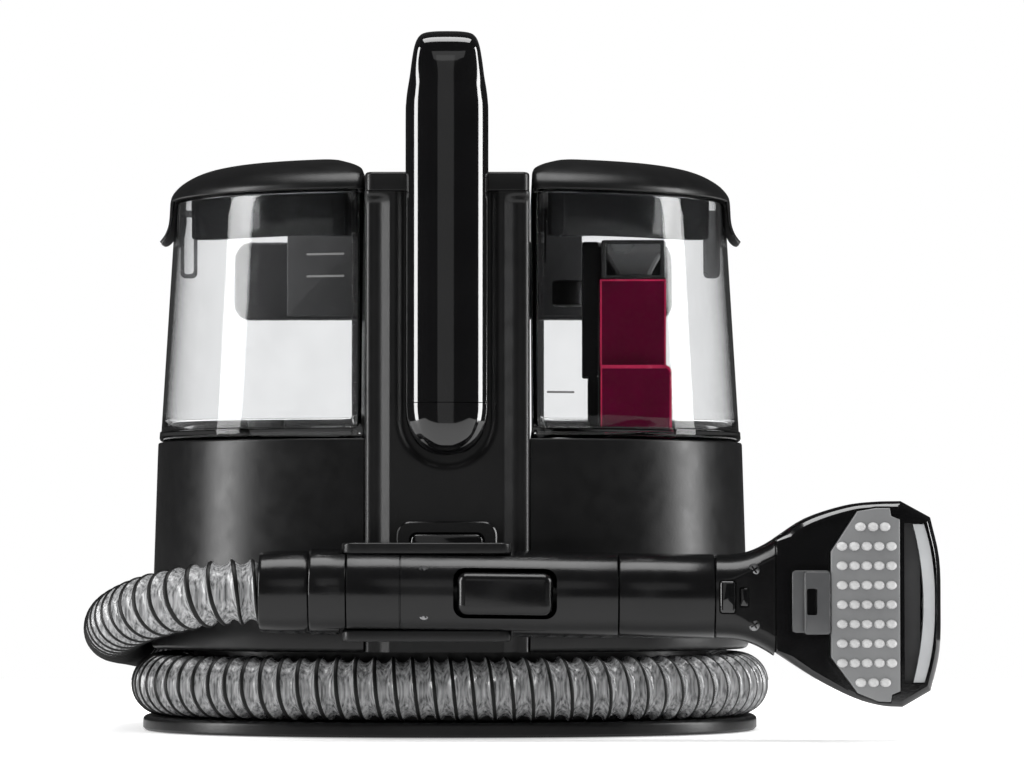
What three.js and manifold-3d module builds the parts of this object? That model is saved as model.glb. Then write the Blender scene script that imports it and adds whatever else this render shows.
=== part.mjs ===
// Portable carpet and upholstery cleaner.
//
// A suction motor, fan and pump stand in an oval lower housing. A clear clean-water tank (left) and a
// clear dirty-water tank (right) stand on it, either side of a central column that carries an arched
// handle. The suction hose lies in a recess around the foot of the machine and ends in a hand tool,
// which rests crosswise in a dock on the front of the column.
//
// Millimetres. +Z is up, the front faces -Y, and the origin is on the floor at the base's centre.

import * as THREE from 'three';
import { mergeVertices } from 'three/addons/utils/BufferGeometryUtils.js';
import Module from 'manifold-3d';

const wasm = await Module();
wasm.setup();

// ---------------------------------------------------------------- driving dimensions

const GAP = 0.3;
const RAD = Math.PI / 180;

// Every plan outline is an oval |x/a|^POWER + |y/b|^POWER = 1.
const POWER = 2.3;
const OVAL_STEPS = 48;
const HALF_OVAL_STEPS = 26;

const BASE = { a: 152.5, b: 116, top: 7, round: 1.5 };
const FOOT = { x: 100, y: 66, radius: 7, height: 2 };
const DRUM = { a: 127.5, b: 91, wall: 3, bottom: BASE.top + GAP, top: 39.7 };
const HOUSING = { a: 148.5, b: 112, aTop: 145.5, bTop: 109, bottom: 40, top: 141.7, wall: 2.8, floor: 3 };
const DECK = { a: 142.2, b: 105.7, bottom: 137, top: 141.6 };
const TANK = { a: 145, b: 108, aTop: 137.2, bTop: 102.2, bottom: 142.3, top: 260, inner: 40.3, wall: 2.4, floor: 3 };
const COLUMN = { half: 39.3, front: -115, rear: 104, chamfer: 4, wall: 2.5, top: 258.7, capTop: 268 };
const LID_HINGE = { x: 44, z: 268, pin: 1.4, bore: 1.6, barrel: 3.2, halfLength: 31, earWidth: 3.4 };
const SKIRT = { a: 129.3, b: 91.6, inner: 48, wall: 2.2, bottom: 240, top: 261 };

const CLEAN_OUTLET = { x: -92, y: 0, hole: 6, seat: 10.5 };
const DIRTY_INLET = { x: 88, y: -34, hole: 11, duct: 12, seat: 12.6 };
const SUCTION_WINDOW = { y0: 80, y1: 96, z0: 226, z1: 246 };

const HANDLE = { front: -129.2, back: -115.6, half: 19.6, seam: 158.2, bottom: 133 };
const BUTTON = { half: 17, bottom: 84.5, top: 96 };

const FAN = { x: 0, y: 25, radius: 44, shaft: 3 };

const HOSE = { radius: 15, a: 143, b: 106.5, z: 22.6, startAngle: 150, leaveAngle: 464 };

// The hand tool's axis runs along X, in front of the column.
const TOOL = { y: -140, z: 69, radius: 20.5, bore: 12, flat: 17.2, flatFrom: -49.5, flatTo: 31.5 };
const JAW = { x0: -48.5, x1: 30.5, front: -150, upper: 86.6, lower: 51.4, thick: 5.4 };
const PAD = { front: -166.5, back: -158.3 };
const HEAD = { front: -164, back: -122 };

// ---------------------------------------------------------------- materials

const material = (colour, roughness, metalness = 0, opacity = 1) => new THREE.MeshStandardMaterial({
  color: colour,
  roughness,
  metalness,
  opacity,
  transparent: opacity < 1,
});

const satinBlack = () => material(0x141414, 0.45);
const glossBlack = () => material(0x050505, 0.12);
const rubberBlack = () => material(0x1a1a1a, 0.85);
const innerBlack = () => material(0x202020, 0.6);
const clearPlastic = () => material(0xe8eef0, 0.05, 0, 0.25);
const smokedPlastic = () => material(0x303436, 0.15, 0, 0.7);
const redPlastic = () => material(0x8a0f38, 0.12, 0, 0.8);
const greyPlastic = () => material(0xa9abad, 0.5);
const steel = () => material(0xb8babd, 0.3, 1);
const hoseVinyl = () => material(0x8d9092, 0.3);

// ---------------------------------------------------------------- solids

// A closed geometry of any three.js kind as a manifold solid.
function solid(geometry) {
  const bare = geometry.clone();
  bare.deleteAttribute('normal');
  bare.deleteAttribute('uv');
  const merged = mergeVertices(bare, 1e-3);
  const kept = [];
  for (let i = 0; i < merged.index.count; i += 3) {
    const face = [0, 1, 2].map((corner) => merged.index.getX(i + corner));
    if (new Set(face).size === 3) kept.push(...face);
  }
  return new wasm.Manifold(new wasm.Mesh({
    numProp: 3,
    vertProperties: new Float32Array(merged.attributes.position.array),
    triVerts: new Uint32Array(kept),
  }));
}

const join = (first, ...others) => others.reduce((sum, next) => sum.add(next), first);
const cut = (first, ...others) => others.reduce((rest, next) => rest.subtract(next), first);

function geometryOf(body) {
  const mesh = body.getMesh();
  const geometry = new THREE.BufferGeometry();
  const places = [];
  for (let i = 0; i < mesh.vertProperties.length; i += mesh.numProp) {
    places.push(...mesh.vertProperties.slice(i, i + 3));
  }
  geometry.setAttribute('position', new THREE.Float32BufferAttribute(places, 3));
  geometry.setIndex([...mesh.triVerts]);
  geometry.computeVertexNormals();
  return geometry;
}

function block(x0, x1, y0, y1, z0, z1) {
  const box = new THREE.BoxGeometry(x1 - x0, y1 - y0, z1 - z0);
  return solid(box.translate((x0 + x1) / 2, (y0 + y1) / 2, (z0 + z1) / 2));
}

// A round bar between two points.
function rod(from, to, radius, sides = 20) {
  const start = new THREE.Vector3(...from);
  const end = new THREE.Vector3(...to);
  const span = end.clone().sub(start);
  const bar = new THREE.CylinderGeometry(radius, radius, span.length(), sides);
  const turn = new THREE.Quaternion().setFromUnitVectors(new THREE.Vector3(0, 1, 0), span.clone().normalize());
  bar.applyQuaternion(turn);
  const middle = start.add(end).multiplyScalar(0.5);
  return solid(bar.translate(middle.x, middle.y, middle.z));
}

const rodX = (x0, x1, y, z, radius, sides) => rod([x0, y, z], [x1, y, z], radius, sides);
const rodY = (x, y0, y1, z, radius, sides) => rod([x, y0, z], [x, y1, z], radius, sides);
const rodZ = (x, y, z0, z1, radius, sides) => rod([x, y, z0], [x, y, z1], radius, sides);

// An outline drawn in one plane and extruded along the third axis.
function prism(plane, outline, from, to, curveSegments = 6) {
  const shape = outline instanceof THREE.Shape ? outline : new THREE.Shape(outline);
  const options = { depth: to - from, bevelEnabled: false, curveSegments };
  const body = new THREE.ExtrudeGeometry(shape, options);
  if (plane === 'xy') body.translate(0, 0, from);
  if (plane === 'xz') body.rotateX(Math.PI / 2).translate(0, to, 0);
  if (plane === 'yz') {
    const cyclic = new THREE.Matrix4().makeBasis(
      new THREE.Vector3(0, 1, 0),
      new THREE.Vector3(0, 0, 1),
      new THREE.Vector3(1, 0, 0),
    );
    body.applyMatrix4(cyclic).translate(from, 0, 0);
  }
  return solid(body);
}

function roundedRect(x0, x1, y0, y1, radius) {
  const shape = new THREE.Shape();
  shape.absarc(x1 - radius, y0 + radius, radius, -Math.PI / 2, 0);
  shape.absarc(x1 - radius, y1 - radius, radius, 0, Math.PI / 2);
  shape.absarc(x0 + radius, y1 - radius, radius, Math.PI / 2, Math.PI);
  shape.absarc(x0 + radius, y0 + radius, radius, Math.PI, 1.5 * Math.PI);
  return shape;
}

// A closed profile of [radius, x] pairs turned about the X axis through (y, z).
function turnedX(profile, y, z, sides = 28) {
  const points = [...profile, profile[0]].map(([radius, x]) => new THREE.Vector2(radius, x));
  const body = new THREE.LatheGeometry(points, sides);
  return solid(body.rotateZ(-Math.PI / 2).translate(0, y, z));
}

function ovalPoint(a, b, angle) {
  const cosine = Math.cos(angle);
  const sine = Math.sin(angle);
  const x = a * Math.sign(cosine) * Math.abs(cosine) ** (2 / POWER);
  const y = b * Math.sign(sine) * Math.abs(sine) ** (2 / POWER);
  return new THREE.Vector2(x, y);
}

function oval(a, b) {
  const points = [];
  for (let i = 0; i < OVAL_STEPS; i += 1) points.push(ovalPoint(a, b, (2 * Math.PI * i) / OVAL_STEPS));
  return points;
}

// The stretch of an oval beyond x = side * inner, closed by a straight edge. side is -1 or 1.
function halfOval(side, a, b, inner) {
  const limit = Math.acos((inner / a) ** (POWER / 2));
  const points = [];
  for (let i = 0; i <= HALF_OVAL_STEPS; i += 1) {
    points.push(ovalPoint(a, b, limit * ((2 * i) / HALF_OVAL_STEPS - 1)));
  }
  if (side > 0) return points;
  return points.map((point) => new THREE.Vector2(-point.x, point.y)).reverse();
}

// Outlines of equal length joined one above the other. A looped stack closes on its first outline.
function stack(sections, looped = false) {
  const count = sections[0].points.length;
  const places = [];
  sections.forEach(({ z, points }) => points.forEach((point) => places.push(point.x, point.y, z)));
  const faces = [];
  const layers = looped ? sections.length : sections.length - 1;
  for (let layer = 0; layer < layers; layer += 1) {
    const lower = layer * count;
    const upper = ((layer + 1) % sections.length) * count;
    for (let i = 0; i < count; i += 1) {
      const j = (i + 1) % count;
      faces.push(lower + i, lower + j, upper + j, lower + i, upper + j, upper + i);
    }
  }
  if (!looped) {
    const top = (sections.length - 1) * count;
    const last = sections[sections.length - 1].points;
    THREE.ShapeUtils.triangulateShape(sections[0].points, []).forEach(([i, j, k]) => faces.push(i, k, j));
    THREE.ShapeUtils.triangulateShape(last, []).forEach(([i, j, k]) => faces.push(top + i, top + j, top + k));
  }
  const geometry = new THREE.BufferGeometry();
  geometry.setAttribute('position', new THREE.Float32BufferAttribute(places, 3));
  geometry.setIndex(faces);
  return solid(geometry);
}

// Rings of equal length in space, joined in order, with a flat cap at each end.
function loft(rings) {
  const count = rings[0].length;
  const places = rings.flat().flatMap((point) => [point.x, point.y, point.z]);
  const faces = [];
  for (let layer = 0; layer < rings.length - 1; layer += 1) {
    for (let i = 0; i < count; i += 1) {
      const lower = layer * count;
      const j = (i + 1) % count;
      const upper = lower + count;
      faces.push(lower + i, lower + j, upper + j, lower + i, upper + j, upper + i);
    }
  }
  const top = (rings.length - 1) * count;
  for (let i = 1; i < count - 1; i += 1) {
    faces.push(0, i + 1, i);
    faces.push(top, top + i, top + i + 1);
  }
  const geometry = new THREE.BufferGeometry();
  geometry.setAttribute('position', new THREE.Float32BufferAttribute(places, 3));
  geometry.setIndex(faces);
  return solid(geometry);
}

function tube(points, radius, steps, sides = 10) {
  const path = new THREE.CatmullRomCurve3(points.map((point) => new THREE.Vector3(...point)), false, 'centripetal');
  const circle = new THREE.Shape();
  circle.absarc(0, 0, radius, 0, 2 * Math.PI);
  const options = { steps, extrudePath: path, curveSegments: sides / 2 };
  return solid(new THREE.ExtrudeGeometry(circle, options));
}

const machine = new THREE.Group();

function add(name, body, finish) {
  const mesh = new THREE.Mesh(geometryOf(body), finish);
  mesh.name = name;
  machine.add(mesh);
}

// ---------------------------------------------------------------- base and lower housing

function basePlate() {
  const { a, b, top, round } = BASE;
  const plate = stack([
    { z: 0, points: oval(a - round, b - round) },
    { z: round, points: oval(a, b) },
    { z: top - round, points: oval(a, b) },
    { z: top, points: oval(a - round, b - round) },
  ]);
  const pockets = footPlaces().map(([x, y]) => rodZ(x, y, -1, FOOT.height + GAP, FOOT.radius + GAP));
  return cut(plate, ...pockets);
}

function footPlaces() {
  return [[-1, -1], [1, -1], [-1, 1], [1, 1]].map(([i, j]) => [i * FOOT.x, j * FOOT.y]);
}

const foot = ([x, y]) => rodZ(x, y, 0, FOOT.height, FOOT.radius);

function hoseDrum() {
  const { a, b, wall, bottom, top } = DRUM;
  const outer = oval(a, b);
  const inner = oval(a - wall, b - wall);
  return stack([
    { z: bottom, points: outer },
    { z: top, points: outer },
    { z: top, points: inner },
    { z: bottom, points: inner },
  ], true);
}

// The column's front cover fills this notch in the housing and the deck.
const columnNotch = () => block(-COLUMN.half - GAP, COLUMN.half + GAP, -125, -98.1, 30, 150);

function lowerHousing() {
  const { a, b, aTop, bTop, bottom, top, wall, floor } = HOUSING;
  const shell = stack([
    { z: bottom, points: oval(a - 1.2, b - 1.2) },
    { z: bottom + 1.5, points: oval(a, b) },
    { z: top, points: oval(aTop, bTop) },
    { z: top, points: oval(aTop - wall, bTop - wall) },
    { z: bottom + floor, points: oval(a - wall, b - wall) },
  ]);
  return cut(
    shell,
    columnNotch(),
    block(-34, 34, 100, 120, 62, 98),
    rodY(-70, 90, 115, 55, 7),
    rodZ(86, -34, 38, 45, 17),
  );
}

function tankDeck() {
  const plate = stack([
    { z: DECK.bottom, points: oval(DECK.a, DECK.b) },
    { z: DECK.top, points: oval(DECK.a, DECK.b) },
  ]);
  return cut(
    plate,
    columnNotch(),
    block(-30, 30, -50, 98.5, 130, 150),
    rodZ(CLEAN_OUTLET.x, CLEAN_OUTLET.y, 130, 150, CLEAN_OUTLET.seat),
    rodZ(DIRTY_INLET.x, DIRTY_INLET.y, 130, 150, DIRTY_INLET.seat),
  );
}

function exhaustGrille() {
  const plate = block(-33.7, 33.7, 107.5, 112.8, 62.3, 97.7);
  const slots = [0, 1, 2, 3, 4].map((row) => block(-30, 30, 100, 120, 65.2 + row * 6.4, 69 + row * 6.4));
  return cut(plate, ...slots);
}

const cordGland = () => cut(rodY(-70, 96, 110, 55, 6.7), rodY(-70, 90, 115, 55, 3.6));

// ---------------------------------------------------------------- column, handle and dock

// One half of the column's shell in plan: a U open towards the other half.
function columnOutline(end, joint) {
  const { half, chamfer, wall } = COLUMN;
  const inward = Math.sign(joint - end);
  const slack = wall * 0.41;
  return [
    [-half, joint],
    [-half, end + inward * chamfer],
    [-half + chamfer, end],
    [half - chamfer, end],
    [half, end + inward * chamfer],
    [half, joint],
    [half - wall, joint],
    [half - wall, end + inward * (chamfer + slack)],
    [half - chamfer - slack, end + inward * wall],
    [-half + chamfer + slack, end + inward * wall],
    [-half + wall, end + inward * (chamfer + slack)],
    [-half + wall, joint],
  ].map(([x, y]) => new THREE.Vector2(x, y));
}

function columnFrontCover() {
  const upper = prism('xy', columnOutline(COLUMN.front, -GAP), TANK.bottom, COLUMN.top);
  const lower = prism('xy', columnOutline(COLUMN.front, -98.4), HOUSING.bottom + GAP, TANK.bottom);
  const buttonHole = block(
    -BUTTON.half - GAP, BUTTON.half + GAP, -118, -108, BUTTON.bottom - GAP, BUTTON.top + GAP,
  );
  return cut(join(upper, lower), buttonHole);
}

function columnRearCover() {
  const shell = prism('xy', columnOutline(COLUMN.rear, GAP), TANK.bottom, COLUMN.top);
  const { y0, y1, z0, z1 } = SUCTION_WINDOW;
  return cut(shell, block(30, 45, y0, y1, z0, z1));
}

function columnTopCap() {
  const outline = (inset) => {
    const half = COLUMN.half - GAP - inset;
    const front = COLUMN.front + inset;
    const rear = COLUMN.rear - inset;
    const corner = COLUMN.chamfer;
    return [
      [-half + corner, front], [half - corner, front], [half, front + corner], [half, rear - corner],
      [half - corner, rear], [-half + corner, rear], [-half, rear - corner], [-half, front + corner],
    ].map(([x, y]) => new THREE.Vector2(x, y));
  };
  return stack([
    { z: COLUMN.top + GAP, points: outline(0) },
    { z: COLUMN.capTop - 2, points: outline(0) },
    { z: COLUMN.capTop, points: outline(1.5) },
  ]);
}

// Two wings behind the tanks that the mains lead is wound on.
function cableWrap() {
  const boss = block(-30, 30, COLUMN.rear + GAP, 111, 216, 245);
  const plate = prism('xz', roundedRect(-117, 117, 210, 251, 9), 110, 116);
  return join(boss, plate);
}

// A rounded-rectangle ring across the handle, between its outer and inner faces in the YZ plane.
function handleRing([outerY, outerZ, innerY, innerZ, width]) {
  const corners = 16;
  const squareness = 0.55;
  const across = new THREE.Vector3(1, 0, 0);
  const over = new THREE.Vector3(0, innerY - outerY, innerZ - outerZ);
  const centre = new THREE.Vector3(0, (innerY + outerY) / 2, (innerZ + outerZ) / 2);
  const ring = [];
  for (let i = 0; i < corners; i += 1) {
    const angle = (2 * Math.PI * (i + 0.5)) / corners;
    const u = (width / 2) * Math.sign(Math.cos(angle)) * Math.abs(Math.cos(angle)) ** squareness;
    const v = 0.5 * Math.sign(Math.sin(angle)) * Math.abs(Math.sin(angle)) ** squareness;
    ring.push(centre.clone().addScaledVector(across, u).addScaledVector(over, v));
  }
  return ring;
}

function handleArch() {
  const { front, back, half, seam } = HANDLE;
  return loft([
    [front, seam, back, seam, 2 * half],
    [front, 298, back, 296, 2 * half],
    [front, 316, -114.9, 303, 37.6],
    [-128.4, 324.6, -112.8, 306.6, 35.2],
    [-125, 330.6, -109.5, 309, 33.6],
    [-118, 334.2, -104.5, 310.6, 32],
    [-107, 335.6, -98, 311, 31],
    [-90, 335.8, -88, 311, 30],
    [-60, 335.8, -60, 311, 29.4],
    [35, 335.8, 35, 311, 29.4],
    [61.5, 331.4, 52, 309.4, 30],
    [83, 315, 64.5, 301.5, 31.5],
    [94.2, 291, 71.8, 287, 33],
    [96, COLUMN.capTop + GAP, 74, COLUMN.capTop + GAP, 34],
  ].map(handleRing));
}

function handleEndCap() {
  const { front, back, half, seam, bottom } = HANDLE;
  const shape = new THREE.Shape();
  shape.absellipse(0, seam - GAP, half, seam - GAP - bottom, Math.PI, 2 * Math.PI);
  return prism('xz', shape, front, back, 14);
}

function toolDock() {
  const { x0, x1, front, upper, lower, thick } = JAW;
  const back = COLUMN.front - GAP;
  const face = -118.6;
  const jaw = (z) => prism('xy', roundedRect(x0, x1, front, back, 5), z, z + thick);
  const bezelRoom = block(-24, 24, face, back + 1, 79.7, 100);
  const plate = block(x0, x1, face, back, lower - thick, upper + thick);
  return cut(join(plate, jaw(upper), jaw(lower - thick)), bezelRoom);
}

function switchBezel() {
  const shape = roundedRect(-23.7, 23.7, 80, 102, 6);
  const { half, bottom, top } = BUTTON;
  shape.holes.push(roundedRect(-half - GAP, half + GAP, bottom - GAP, top + GAP, 3));
  return prism('xz', shape, -117.8, COLUMN.front - GAP);
}

function powerButton() {
  return prism('xz', roundedRect(-BUTTON.half, BUTTON.half, BUTTON.bottom, BUTTON.top, 3), -118.2, -111.4);
}

const powerSwitch = () => block(-11, 11, -108.9, -97, 82, 98);

// ---------------------------------------------------------------- motor, fan, pump and ducts

function motorCan() {
  const { x, y, shaft } = FAN;
  const can = rodZ(x, y, 66, 116, 38, 28);
  const crown = rodZ(x, y, 115, 128, 24, 24);
  return cut(join(can, crown), rodZ(x, y, 60, 86, shaft + 0.4));
}

function fanHousing() {
  const { x, y } = FAN;
  const can = rodZ(x, y, 46.3, 63, 50, 32);
  const room = rodZ(x, y, 48.8, 60.5, 47, 32);
  const eye = rodZ(x, y, 40, 50, 18);
  const shaftHole = rodZ(x, y, 58, 70, 5);
  const outlet = block(-25, 25, y + 30, y + 60, 50, 59);
  return cut(can, room, eye, shaftHole, outlet);
}

function fanImpeller() {
  const { x, y, radius, shaft } = FAN;
  const disc = rodZ(x, y, 50, 51.6, radius, 28);
  const hub = rodZ(x, y, 51, 59, 7);
  const spindle = rodZ(x, y, 58, 84, shaft);
  const blades = [];
  for (let i = 0; i < 8; i += 1) {
    const angle = i * 45 * RAD;
    const tip = [x + (radius - 2) * Math.cos(angle), y + (radius - 2) * Math.sin(angle)];
    const root = [x + 6 * Math.cos(angle + 0.35), y + 6 * Math.sin(angle + 0.35)];
    const across = new THREE.Vector2(tip[0] - root[0], tip[1] - root[1]).normalize();
    const side = new THREE.Vector2(-across.y, across.x).multiplyScalar(0.8);
    blades.push(prism('xy', [
      new THREE.Vector2(root[0] - side.x, root[1] - side.y),
      new THREE.Vector2(tip[0] - side.x, tip[1] - side.y),
      new THREE.Vector2(tip[0] + side.x, tip[1] + side.y),
      new THREE.Vector2(root[0] + side.x, root[1] + side.y),
    ], 51, 57.6));
  }
  return join(disc, hub, spindle, ...blades);
}

// From the window in the dirty tank's side, down the column to the fan.
function suctionDuct() {
  const { y0, y1, z0, z1 } = SUCTION_WINDOW;
  const wall = 1.6;
  const shaft = block(-16, 16, y0 - 1, y1, 46.3, z1 + 4);
  const branch = block(15, 36.3, y0, y1, z0, z1);
  const shaftRoom = block(-16 + wall, 16 - wall, y0 - 1 + wall, y1 - wall, 40, z1 + 4 - wall);
  const branchRoom = block(0, 40, y0 + wall, y1 - wall, z0 + wall, z1 - wall);
  return cut(join(shaft, branch), shaftRoom, branchRoom);
}

function waterPump() {
  const body = rodZ(-75, -10, 46, 80, 17, 24);
  const head = block(-90, -60, -22, 2, 60, 76);
  const inlet = rodZ(-75, -10, 79, 92, 3.5, 12);
  return join(body, head, inlet);
}

const pumpInletTube = () => tube([[-75, -10, 92.4], [-75, -10, 104], [-88, -2, 118], [-92, 0, 132]], 5, 10);
const solutionTube = () => tube([[-75, 8, 60], [-76, 20, 59], [-84, 33, 56], [-90, 39, 49]], 4, 10);

// From the hose's port, across the drum and up through the deck to the dirty tank.
function inletDuct() {
  const { x, y, duct } = DIRTY_INLET;
  return tube([
    [-98, 43, 23], [-60, 22, 23], [20, -22, 23], [62, -33, 23],
    [82, y, 34], [x, y, 58], [x, y, 100], [x, y, DECK.top],
  ], duct, 26);
}

// ---------------------------------------------------------------- tanks and lids

function tankCup(side) {
  const { a, b, aTop, bTop, bottom, top, inner, wall, floor } = TANK;
  return stack([
    { z: bottom, points: halfOval(side, a - 1, b - 1, inner) },
    { z: bottom + 2, points: halfOval(side, a, b, inner) },
    { z: top, points: halfOval(side, aTop, bTop, inner) },
    { z: top, points: halfOval(side, aTop - wall, bTop - wall, inner + wall) },
    { z: bottom + floor, points: halfOval(side, a - wall, b - wall, inner + wall) },
  ]);
}

// Two ears on the tank's inner wall hold the lid's hinge pin.
function hingeEars(side) {
  const { x, z, barrel, bore, halfLength, earWidth } = LID_HINGE;
  const ears = [-1, 1].map((end) => {
    const near = end * (halfLength + 1);
    const far = end * (halfLength + 1 + earWidth);
    const [y0, y1] = [Math.min(near, far), Math.max(near, far)];
    const [x0, x1] = [side * (x - 1.8), side * (x + 1.8)].sort((p, q) => p - q);
    const ear = join(block(x0, x1, y0, y1, 245, z), rodY(side * x, y0, y1, z, barrel - 0.6, 16));
    return ear;
  });
  return { ears, hole: rodY(side * x, -halfLength - 9, halfLength + 9, z, bore, 16) };
}

function tankWithEars(side) {
  const { ears, hole } = hingeEars(side);
  const bridge = [-1, 1].map((end) => {
    const [x0, x1] = [side * (TANK.inner + 1), side * LID_HINGE.x].sort((p, q) => p - q);
    const middle = end * (LID_HINGE.halfLength + 1 + LID_HINGE.earWidth / 2);
    return block(x0, x1, middle - LID_HINGE.earWidth / 2, middle + LID_HINGE.earWidth / 2, 245, TANK.top);
  });
  return cut(join(tankCup(side), ...ears, ...bridge), hole);
}

function cleanTank() {
  const { x, y, hole } = CLEAN_OUTLET;
  return cut(tankWithEars(-1), rodZ(x, y, 138, 150, hole));
}

function dirtyTank() {
  const { x, y, hole } = DIRTY_INLET;
  const { y0, y1, z0, z1 } = SUCTION_WINDOW;
  return cut(tankWithEars(1), rodZ(x, y, 138, 150, hole), block(38, 44, y0, y1, z0, z1));
}

// A sprung poppet in the clean tank's floor.
function outletValve() {
  const { x, y } = CLEAN_OUTLET;
  return join(rodZ(x, y, 134, 147, 4), rodZ(x, y, 145.9, 148.2, 9), rodZ(x, y, 134, 136, 5));
}

// A domed shell, highest near the column, with a pull tab over the tank's outer end.
function lid(side) {
  const dome = stack([
    { z: 276, points: halfOval(side, 98, 60, 52) },
    { z: 271.5, points: halfOval(side, 124, 89, 47.5) },
    { z: 261.3, points: halfOval(side, 136.6, 101.4, 43.2) },
    { z: 261.3, points: halfOval(side, 139.4, 104.2, TANK.inner) },
    { z: 266, points: halfOval(side, 137.6, 102.4, TANK.inner) },
    { z: 270.5, points: halfOval(side, 133.6, 98.4, TANK.inner + 0.5) },
    { z: 274, points: halfOval(side, 128, 92.5, 44) },
    { z: 276.6, points: halfOval(side, 120.5, 84.5, 49.5) },
    { z: 279.2, points: halfOval(side, 107, 69, 54) },
    { z: 280.6, points: halfOval(side, 80, 40, 57) },
  ]);
  const { x, z, barrel, bore, halfLength, earWidth } = LID_HINGE;
  const knuckle = rodY(side * x, -halfLength, halfLength, z, barrel, 16);
  const pinHole = rodY(side * x, -halfLength - 8, halfLength + 8, z, bore, 16);
  const slots = [-1, 1].map((end) => {
    const near = end * (halfLength + 0.4);
    const far = end * (halfLength + earWidth + 1.8);
    const [x0, x1] = [side * 38, side * 53].sort((p, q) => p - q);
    return block(x0, x1, Math.min(near, far), Math.max(near, far), 250, 272);
  });
  const tab = prism('xz', pullTabOutline(side), -20, 20);
  return cut(join(dome, knuckle, tab), ...slots, pinHole);
}

function pullTabOutline(side) {
  const right = [
    [136.8, 265], [137.8, 261.3], [138.4, 254], [139.6, 247.5], [142.2, 242.8], [144, 241.1],
    [145.2, 242.8], [142.4, 246.6], [140.8, 252], [140.3, 258], [139.4, 262.5], [138.3, 265],
  ];
  const points = right.map(([x, z]) => new THREE.Vector2(side * x, z));
  return side > 0 ? points : points.reverse();
}

function lidSkirt(side) {
  const { a, b, inner, wall, bottom, top } = SKIRT;
  const outer = halfOval(side, a, b, inner);
  const room = halfOval(side, a - wall, b - wall, inner + wall);
  return stack([
    { z: bottom, points: outer },
    { z: top, points: outer },
    { z: top, points: room },
    { z: bottom, points: room },
  ], true);
}

const hingePin = (side) => rodY(side * LID_HINGE.x, -36, 36, LID_HINGE.z, LID_HINGE.pin, 14);

// The dirty lid also carries the float's guide rod.
function dirtyLid() {
  const guide = join(rodZ(60, 40, 211, 278, 2, 12), rodZ(60, 40, 210.6, 212.8, 5, 16));
  return join(lid(1), guide);
}

const float = () => cut(rodZ(60, 40, 213.1, 226, 9, 20), rodZ(60, 40, 200, 240, 2.6, 12));

function inletTower() {
  const tower = block(74, 106, -58, -12, 145.8, 220);
  const apron = block(72.5, 108, -72, -57, 145.8, 178);
  const towerRoom = block(76, 104, -56, -14, 140, 225);
  const apronRoom = block(74.5, 106, -70, -59.5, 140, 176);
  return cut(join(tower, apron), towerRoom, apronRoom);
}

function inletFunnel() {
  const ring = (inset, shrink) => [
    [74 + inset + shrink, -58 + inset + shrink],
    [106 - inset - shrink, -58 + inset + shrink],
    [106 - inset - shrink, -12 - inset - shrink],
    [74 + inset + shrink, -12 - inset - shrink],
  ].map(([x, y]) => new THREE.Vector2(x, y));
  return stack([
    { z: 220.4, points: ring(8, 0) },
    { z: 232, points: ring(2, 0) },
    { z: 239, points: ring(0.5, 0) },
    { z: 239, points: ring(0.5, 1.6) },
    { z: 232, points: ring(2, 1.6) },
    { z: 220.4, points: ring(8, 1.6) },
  ], true);
}

// ---------------------------------------------------------------- hand tool

const toolBar = (x0, x1, radius = TOOL.radius) => rodX(x0, x1, TOOL.y, TOOL.z, radius, 32);

// Flats along the grip where the dock's jaws hold it.
function flatsRoom() {
  const { flatFrom, flatTo, flat, z } = TOOL;
  return [
    block(flatFrom, flatTo, -170, -110, z + flat, z + 30),
    block(flatFrom, flatTo, -170, -110, z - 30, z - flat),
  ];
}

function hoseCuff() {
  const profile = [[TOOL.bore, -87], [17.6, -87], [19.3, -81], [19.3, -70], [18.4, -63.9], [TOOL.bore, -63.9]];
  return turnedX(profile, TOOL.y, TOOL.z);
}

function swivelRing() {
  return cut(toolBar(-63.6, -46.3), toolBar(-70, -40, TOOL.bore), ...flatsRoom());
}

function gripHalf(side) {
  const whole = cut(toolBar(-46, 80), toolBar(-43, 77, 14.5), toolBar(-50, 90, TOOL.bore), ...flatsRoom());
  const room = side < 0 ? block(-60, 90, TOOL.y - 0.15, -100, 40, 100) : block(-60, 90, -180, TOOL.y + 0.15, 40, 100);
  return cut(whole, room);
}

const GRIP_SCREW = { x: -10, dz: 9.8, radius: 3 };
const NECK_SCREW = { x: 143, dz: 12.8, radius: 3 };
const TRIGGER = { x0: 6, x1: 50, z0: 59.7, z1: 78.3, front: -161.5, back: -151 };
const LOCK = { x0: 127, x1: 134.6, z0: 61.6, z1: 76.4, front: -160.8, back: -156 };

function gripFrontShell() {
  const { x0, x1, z0, z1 } = TRIGGER;
  const slot = prism('xz', roundedRect(x0 - 1, x1 + 1, z0 - 1, z1 + 1, 4), -170, TOOL.y - 5);
  const { x, dz, radius } = GRIP_SCREW;
  const holes = [-1, 1].map((end) => rodY(x, -170, -148, TOOL.z + end * dz, radius + GAP, 16));
  return cut(gripHalf(-1), slot, ...holes);
}

const gripScrew = (end) => rodY(GRIP_SCREW.x, -157.4, -150.6, TOOL.z + end * GRIP_SCREW.dz, GRIP_SCREW.radius, 16);

function trigger() {
  const { x0, x1, z0, z1, front, back } = TRIGGER;
  return prism('xz', roundedRect(x0, x1, z0, z1, 4), front, back);
}

const triggerValve = () => rodY(28, -146.4, -131, TOOL.z, 6);
const toolSleeve = () => cut(toolBar(80.3, 125), toolBar(70, 130, TOOL.bore));

// The neck widens towards the nozzle: [place along X, half height].
const NECK_FLARE = [[138, 20.5], [143, 21.6], [148, 24.2], [152.8, 26.8]];

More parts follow.
